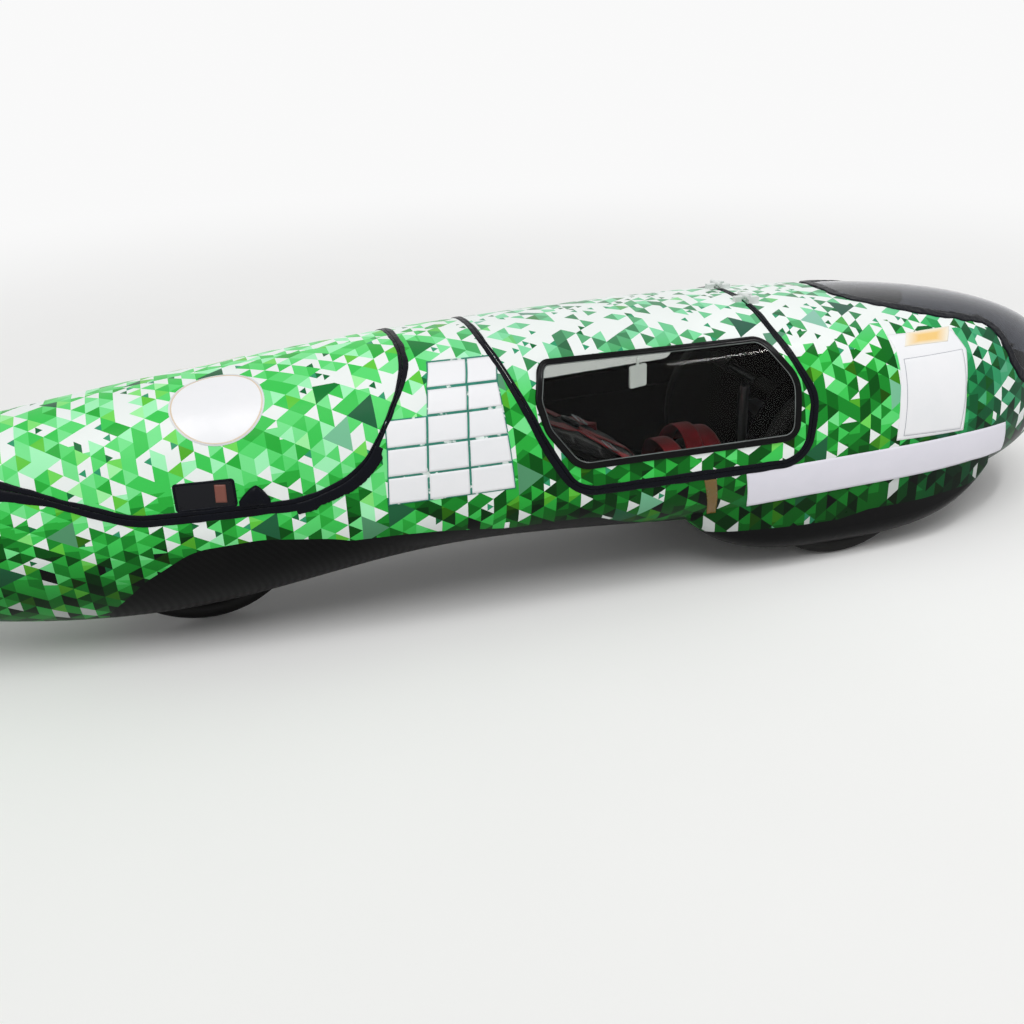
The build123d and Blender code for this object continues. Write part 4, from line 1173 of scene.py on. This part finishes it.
def puffed(mesh, cap):
    # cloth swollen from inside by air, with no weight; no point moves further than cap
    work = addObject("puffForm", mesh)
    before = readAll(mesh.vertices, "co", 3)
    cloth = work.modifiers.new("puff", "CLOTH")
    cloth.settings.use_pressure = True
    cloth.settings.uniform_pressure_force = puffing["pressure"]
    cloth.settings.effector_weights.gravity = 0
    cloth.settings.mass = puffing["mass"]
    cloth.settings.quality = puffing["quality"]
    cloth.point_cache.frame_start = 1
    cloth.point_cache.frame_end = puffing["frames"]
    scene = bpy.context.scene
    for frameNumber in range(1, puffing["frames"] + 1):
        scene.frame_set(frameNumber)
    swollen = work.evaluated_get(bpy.context.evaluated_depsgraph_get()).to_mesh()
    moved = readAll(swollen.vertices, "co", 3) - before
    scene.frame_set(1)
    bpy.data.objects.remove(work)
    far = np.linalg.norm(moved, axis=1, keepdims=True)
    return before + moved * np.minimum(1, cap / np.maximum(far, 1e-9))


def swollenPad(pad):
    # the pad's box drawn in by its inset, then swollen, and held inside the pad's own length and width
    size = np.array([pad["length"], pad["width"]])
    mesh = evenMesh(*boxForm(*(size - 2 * pad["inset"]), pad["thick"] * pad["fill"]), pad["voxel"])
    local = puffed(mesh, pad["cap"])
    half = size / 2 - sewing["room"]
    local[:, :2] = np.clip(local[:, :2], -half, half)
    return mesh, local


def padDirections(pad):
    # where the seat's own line starts, the way along it and the way out of it
    start, end = np.array(pad["start"]), np.array(pad["end"])
    way = (end - start) / np.linalg.norm(end - start)
    return np.array([start[0], 0, start[1]]), np.array([way[0], 0, way[1]]), np.array([-way[1], 0, way[0]])


def sewnHeight(local, pad):
    # flat below where it rests, no thicker than the space it has, with sewn channels across its top
    out = local[:, 2] + pad["thick"] / 2
    share = local[:, 0] / pad["length"] + 0.5
    top = out > pad["thick"] * sewing["front"]
    level = np.clip(1.2 - (np.abs(local[:, 1]) * 2 / pad["width"]) ** 6, 0, 1)
    for k in range(1, pad["channels"]):
        groove = np.exp(-((share - k / pad["channels"]) * pad["length"] / sewing["width"]) ** 2)
        out = out - np.where(top, sewing["depth"] * groove * level, 0)
    low = sewing["rest"] + sewing["wave"] * np.cos(local[:, 1] * sewing["waves"])
    return np.clip(out, low, pad["thick"] - sewing["under"])


def placePad(name, mesh, points, node):
    # the swollen mesh takes its place, its normals are set outwards and one subdivision smooths it
    mesh.vertices.foreach_set("co", points.ravel())
    mesh.name = name
    mesh.materials.clear()
    mesh.materials.append(finishes["cushionCloth"])
    mesh.polygons.foreach_set("use_smooth", np.ones(len(mesh.polygons), bool))
    quads = readAll(mesh.loops, "vertex_index", 1, np.int32).reshape(-1, 4)
    if (closeOut(points, quads) != quads).any():
        mesh.flip_normals()
    mesh.update()
    piece = addObject(name, mesh)
    smooth = piece.modifiers.new("smooth", "SUBSURF")
    smooth.levels = smooth.render_levels = 1
    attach(piece, "chassis")
    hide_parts(node)


def makePads():
    # each pad in the seat's directions, its middle half its length beyond where it begins
    for name, pad in pads.items():
        mesh, local = swollenPad(pad)
        start, way, up = padDirections(pad)
        origin = start + way * (pad["near"] + pad["length"] / 2)
        out = sewnHeight(local, pad)[:, None]
        placePad(name, mesh, origin + local[:, :1] * way + local[:, 1:2] * [0, 1, 0] + out * up, pad["node"])


def makeHeadrest():
    # the same padding upright on the bulkhead, with two seams drawn in
    mesh, local = swollenPad(headPad)
    tall, wide, out = local.T
    out = np.clip(out + headPad["thick"] / 2, sewing["room"], headPad["thick"] - sewing["room"])
    seam = np.exp(-((np.abs(wide) - headPad["width"] * headPad["seamAt"]) / headPad["seamWidth"]) ** 2)
    out = out - np.where(out > headPad["thick"] * headPad["front"], headPad["seamDepth"] * seam, 0)
    middle = headPad["low"] + headPad["length"] / 2
    placePad("headCushion", mesh, np.stack([headPad["back"] + out, wide, middle + tall], -1), headPad["node"])


makePads()
makeHeadrest()
print("pads puffed")

# harness of flat red webbing: over the back cushion to a round buckle, lap straps to the seat's edges
harness = {"width": 0.046, "crotchWidth": 0.0368, "thick": 0.0026, "points": 90, "buckleAt": (0.326, 0.0365),
           "shoulder": [(0.004, 0.010, 0.085), (0.030, 0.022, 0.085), (0.062, 0.0305, 0.085),
                        (0.10, 0.0312, 0.0850), (0.17, 0.0322, 0.0835), (0.24, 0.0326, 0.077),
                        (0.285, 0.0335, 0.062), (0.312, 0.0350, 0.040)],
           "lap": [(0.470, 0.006, 0.152), (0.455, 0.024, 0.1505), (0.438, 0.0335, 0.138),
                   (0.405, 0.0345, 0.105), (0.372, 0.0350, 0.068), (0.345, 0.0360, 0.035)],
           "crotch": [(0.352, 0.0355, 0.0), (0.40, 0.0335, 0.0), (0.45, 0.0325, 0.0), (0.50, 0.0312, 0.0),
                      (0.535, 0.0180, 0.0)],
           # lap straps lying in arches across the seat: x at the ends and the top, both heights, half span
           "arches": [(0.520, 0.500, 0.172, 0.258, 0.128), (0.548, 0.552, 0.172, 0.292, 0.120),
                      (0.602, 0.599, 0.211, 0.276, 0.112)],
           "archPower": 2.3, "archPoints": 9,
           "buckle": [(0.0, 0.0), (0.0, 0.024), (0.001, 0.0255), (0.006, 0.026), (0.0085, 0.0245),
                      (0.0095, 0.0215), (0.0088, 0.0185), (0.0088, 0.0165), (0.0102, 0.0155),
                      (0.0110, 0.0130), (0.0113, 0.0)],
           "slides": [(0.150, 0.0345, 0.084), (0.400, 0.0372, 0.100)], "slideWire": 0.0021,
           "slideOutline": [(-0.011, -0.027), (0.011, -0.027), (0.011, 0.027), (-0.011, 0.027)]}


def seatPoint(along, out, y):
    start, way, up = padDirections(pads["backCushion"])
    return start + along * way + out * up + y * np.array([0.0, 1.0, 0.0])


def strapGrid(knots, across, width=harness["width"]):
    # webbing carried along a smooth line through the knots
    return sweepGrid(smoothLine(knots, harness["points"]), across, webProfile(width, harness["thick"]))


def slideGrid(middle, way, up):
    # small steel frame where a strap doubles back: a wire along four straight sides
    outline = np.array(harness["slideOutline"])
    share = np.linspace(0, 1, 10, endpoint=False)[:, None]
    line = np.concatenate([p * (1 - share) + q * share for p, q in zip(outline, np.roll(outline, -1, 0))])
    angle = np.linspace(0, 2 * np.pi, 8, endpoint=False)
    section = harness["slideWire"] * np.stack([np.cos(angle), np.sin(angle)], -1)
    return sweepGrid(middle + line[:, :1] * way + line[:, 1:] * [0.0, 1.0, 0.0], up, section, closed=True)


def makeHarness():
    # straps by knots on the seat, arches by a power of the distance from the middle, buckle turned round
    _, way, up = padDirections(pads["backCushion"])
    aside = [0.0, 1.0, 0.0]
    straps, slides = [], []
    for side in (1, -1):
        for key, across in (("shoulder", aside), ("lap", way)):
            straps.append(strapGrid([seatPoint(a, o, side * y) for a, o, y in harness[key]], across))
        slides += [slideGrid(seatPoint(a, o, side * y), way, up) for a, o, y in harness["slides"]]
    straps.append(strapGrid([seatPoint(*knot) for knot in harness["crotch"]], aside, harness["crotchWidth"]))
    share = np.linspace(-1, 1, harness["archPoints"])
    for endX, topX, low, high, half in harness["arches"]:
        height = high - (high - low) * np.abs(share) ** harness["archPower"]
        line = np.stack([topX + (endX - topX) * share ** 2, half * share, height], -1)
        straps.append(strapGrid(line, [1.0, 0.0, 0.0]))
    buckle = latheGrid(seatPoint(*harness["buckleAt"], 0.0), up, harness["buckle"], 64)
    makePiece("harnessStraps", joinGrids(straps), "chassis", "redWebbing", ("harness",))
    makePiece("harnessBuckle", buckle, "chassis", "blackPlastic")
    makePiece("strapSlides", joinGrids(slides), "chassis", "zincSteel")


makeHarness()
print("harness on")

# tyres: a round casing from bead to bead, its crown file-cut through the map laid round and across it;
# ridges are depth, angle from the crown and spread
tyre = {"wheel": 0.239, "width": 0.0449, "bead": 0.2002, "rows": 240, "cols": 45, "shrink": 0.0001,
        "ridges": [(0.00035, 0.95, 0.05), (0.0003, 1.75, 0.06)],
        "places": {"frontTyreLeftCasing": ("front_tyre_left", 0.860, 0.250, "front_left_roller"),
                   "frontTyreRightCasing": ("front_tyre_right", 0.860, -0.250, "front_right_roller"),
                   "rearTyreCasing": ("rear_tyre", -0.640, 0.0, "rear_roller")}}


def makeTyres():
    # circle of the casing about the rim, cut off at the bead; the map runs once round (u) and once across (v)
    small = tyre["width"] / 2
    middle = tyre["wheel"] - tyre["shrink"] - small
    limit = math.acos((tyre["bead"] - middle) / small)
    turns, swing = np.linspace(0, 2 * np.pi, tyre["rows"] + 1), np.linspace(-limit, limit, tyre["cols"])
    around, across = np.meshgrid(turns, swing, indexing="ij")
    radius = middle + small * np.cos(across)
    for depth, angle, width in tyre["ridges"]:
        radius = radius - depth * np.exp(-((np.abs(across) - angle) / width) ** 2)
    uv = np.stack([around / (2 * np.pi), (across / limit + 1) / 2], -1)
    for name, (node, x, y, body) in tyre["places"].items():
        points = np.stack([x + radius * np.cos(around), y + small * np.sin(across),
                           tyre["wheel"] + radius * np.sin(around)], -1).reshape(-1, 3)
        grid = points, closeOut(points, gridFaces(*around.shape))
        makePiece(name, grid, body, "tyreRubber", (node,), uv=uv)


makeTyres()

# nuts on the axles and screws: place and size, on both sides of the body or round the rear wheel
fasteners = {"frontNut": (0.860, 0.2822, 0.0065, 0.0086), "rearNut": (-0.640, 0.0602, 0.007, 0.0),
             "nutRadius": 0.0135, "columnFoot": [(0.705, 0.168), (0.735, 0.168)],
             "footScrew": (0.022, 0.0042), "plateHeights": (0.18, 0.315),
             "plateScrew": (1.3299, 0.11, 0.0045),
             "wheel": (-0.640, 0.239), "discScrew": (8, 0.058, 0.0461, 0.0042),
             "panelPlaces": [(-0.669, 0.374), (-0.669, 0.414), (-0.566, 0.374), (-0.566, 0.414)],
             "panelScrew": (0.03, 0.0026)}


def nutGrid(key, side):
    # six-sided prism with its outer corners taken off
    x, y, height, bore = fasteners[key]
    wide = fasteners["nutRadius"]
    rings = [(0.0, bore), (0.0, wide * 0.93), (0.12, wide), (0.85, wide), (1.0, wide * 0.9), (1.0, bore)]
    rows = [(share * height, ring) for share, ring in rings]
    return latheGrid((x, side * y, fasteners["wheel"][1]), (0, side, 0), rows, 6)


def screwGrid(centre, axis, radius):
    # domed head with a round socket
    rings = [(0.0, 0.0), (0.0, 1.0), (0.25, 1.0), (0.5, 0.9), (0.62, 0.6), (0.62, 0.42), (0.2, 0.38),
             (0.2, 0.0)]
    return latheGrid(centre, axis, np.array(rings) * radius, 16)


def makeFasteners():
    # every nut and screw joins the group of the body it moves with
    groups = {"chassis": [], "lid": [], "fork": [], "rear_roller": []}
    footY, footRadius = fasteners["footScrew"]
    plateX, plateY, plateRadius = fasteners["plateScrew"]
    count, circle, discY, discRadius = fasteners["discScrew"]
    wheelX, wheelZ = fasteners["wheel"]
    for side in (1, -1):
        groups["chassis"].append(nutGrid("frontNut", side))
        groups["fork"].append(nutGrid("rearNut", side))
        for x, z in fasteners["columnFoot"]:
            groups["chassis"].append(screwGrid((x, side * footY, z), (0, 0, 1), footRadius))
        for z in fasteners["plateHeights"]:
            groups["chassis"].append(screwGrid((plateX, side * plateY, z), (-1, 0, 0), plateRadius))
        for angle in np.arange(count) * 2 * np.pi / count:
            centre = (wheelX + circle * math.cos(angle), side * discY, wheelZ + circle * math.sin(angle))
            groups["rear_roller"].append(screwGrid(centre, (0, side, 0), discRadius))
    lift, radius = fasteners["panelScrew"]
    for x, z in fasteners["panelPlaces"]:
        angle = turnAt(np.array([x]), np.array([z]))
        base, above = (skinPoint(np.array([x]), angle, height)[0] for height in (0.0, 0.01))
        groups["lid"].append(screwGrid(base + (above - base) * lift, above - base, radius))
    for body, grids in groups.items():
        finish = "blackPlastic" if body == "lid" else "zincSteel"
        makePiece(f"{body.replace('_', '')}Fasteners", joinGrids(grids), body, finish)


makeFasteners()

grip = {"x": 0.720, "z": 0.402, "inner": 0.071, "outer": 0.1645, "radius": 0.0152, "rib": 0.0009,
        "pitch": 0.0062, "flange": 0.0035, "rim": 0.001, "bore": 0.0101, "cap": 0.0004}


def makeGrips():
    # ribbed sleeves with a flange at the inner end: each rib the upper half of a sine
    places = np.linspace(grip["inner"], grip["outer"], 120)
    rib = np.clip(np.sin((places - grip["inner"]) * 2 * np.pi / grip["pitch"]), 0, 1)
    ribs = grip["radius"] + grip["rib"] * rib
    ribs[:6] = grip["radius"] + grip["flange"]
    ribs[-4:] = grip["radius"] + grip["rim"]
    rows = [(grip["inner"], grip["bore"]), *zip(places, ribs), (grip["outer"] + grip["cap"], 0.0)]
    sleeves = joinGrids(latheGrid((grip["x"], 0, grip["z"]), (0, side, 0), rows, 32) for side in (1, -1))
    makePiece("barGrips", sleeves, "handlebar", "gripRubber")


makeGrips()
print("fittings on")

# floor and soft lamps: place, aim, size and power of each lamp
studio = {"floorHalf": 60, "centre": (0.0, 0.3, 0.0), "fade": (1.9, 6.0), "white": 0.95, "fill": 0.54,
          "lamps": {"stripLamp": ((1.7, -0.9, 2.6), (1.0, 0, 0.4), (1.1, 0.12), 11),
                    "roofLamp": ((-1.0, -0.6, 2.8), (-0.8, 0, 0.4), (1.6, 0.5), 5)},
          "sun": 1.12, "sunAngle": 35, "sunAim": (0.35, 0.55, -1.1)}


def seenDirectly(tree):
    # 1 for what the camera sees, straight on or in a mirror or through glass
    path = addNode(tree, "LightPath").outputs
    seen, glossy, through = (Wire(path[f"Is {kind} Ray"]) for kind in ("Camera", "Glossy", "Transmission"))
    return seen.math("MAXIMUM", glossy).math("MAXIMUM", through)


def aimed(way):
    # turn of a lamp that shines this way
    return Vector(way).to_track_quat("-Z", "Y").to_euler()


def makeFloor():
    # one wide square that fades from shadow catching floor into white with distance
    half = studio["floorHalf"]
    corners = [(-half, -half, 0), (half, -half, 0), (half, half, 0), (-half, half, 0)]
    floor = addObject("studioFloor", plainMesh("studioFloor", corners, [(0, 1, 2, 3)]))
    place, dress = newMaterial("studioFloor", Roughness=0.9)
    # near the object the floor takes its shadow, further out it passes into the white of the world
    far = wire(place, "VectorMath", {0: place, 1: studio["centre"]}, "Value", operation="DISTANCE")
    share = spread(far, 0.0, 1.0, *studio["fade"], interpolation_type="SMOOTHSTEP") * seenDirectly(place.tree)
    glow = addNode(place.tree, "Emission", {"Strength": studio["white"]})
    made = dress(blend(noise(place, 1.5, 3.0), linear(0.955, 0.955, 0.95), linear(0.97, 0.97, 0.965)))
    floor.data.materials.append(passInto(made, share, glow))


def makeLamps():
    # two oblong lamps, a wide sun and a pale world that fills the shadows
    for name, (place, aim, size, power) in studio["lamps"].items():
        lamp = addObject(name, bpy.data.lights.new(name, "AREA"))
        lamp.data.shape = "RECTANGLE"
        lamp.data.size, lamp.data.size_y = size
        lamp.data.energy = power
        lamp.location = place
        lamp.rotation_euler = aimed(Vector(aim) - Vector(place))
    # a wide soft sun, so that the floor is evenly lit however far it goes
    sun = addObject("softSun", bpy.data.lights.new("softSun", "SUN"))
    sun.data.energy = studio["sun"]
    sun.data.angle = math.radians(studio["sunAngle"])
    sun.rotation_euler = aimed(studio["sunAim"])
    world = bpy.data.worlds.new("studio")
    bpy.context.scene.world = world
    world.use_nodes = True
    back = world.node_tree.nodes["Background"]
    back.inputs["Color"].default_value = (1, 1, 1, 1)
    feed(spread(seenDirectly(world.node_tree), studio["fill"], studio["white"]), back.inputs["Strength"])
    bpy.context.scene.view_settings.view_transform = "Standard"


makeFloor()
makeLamps()
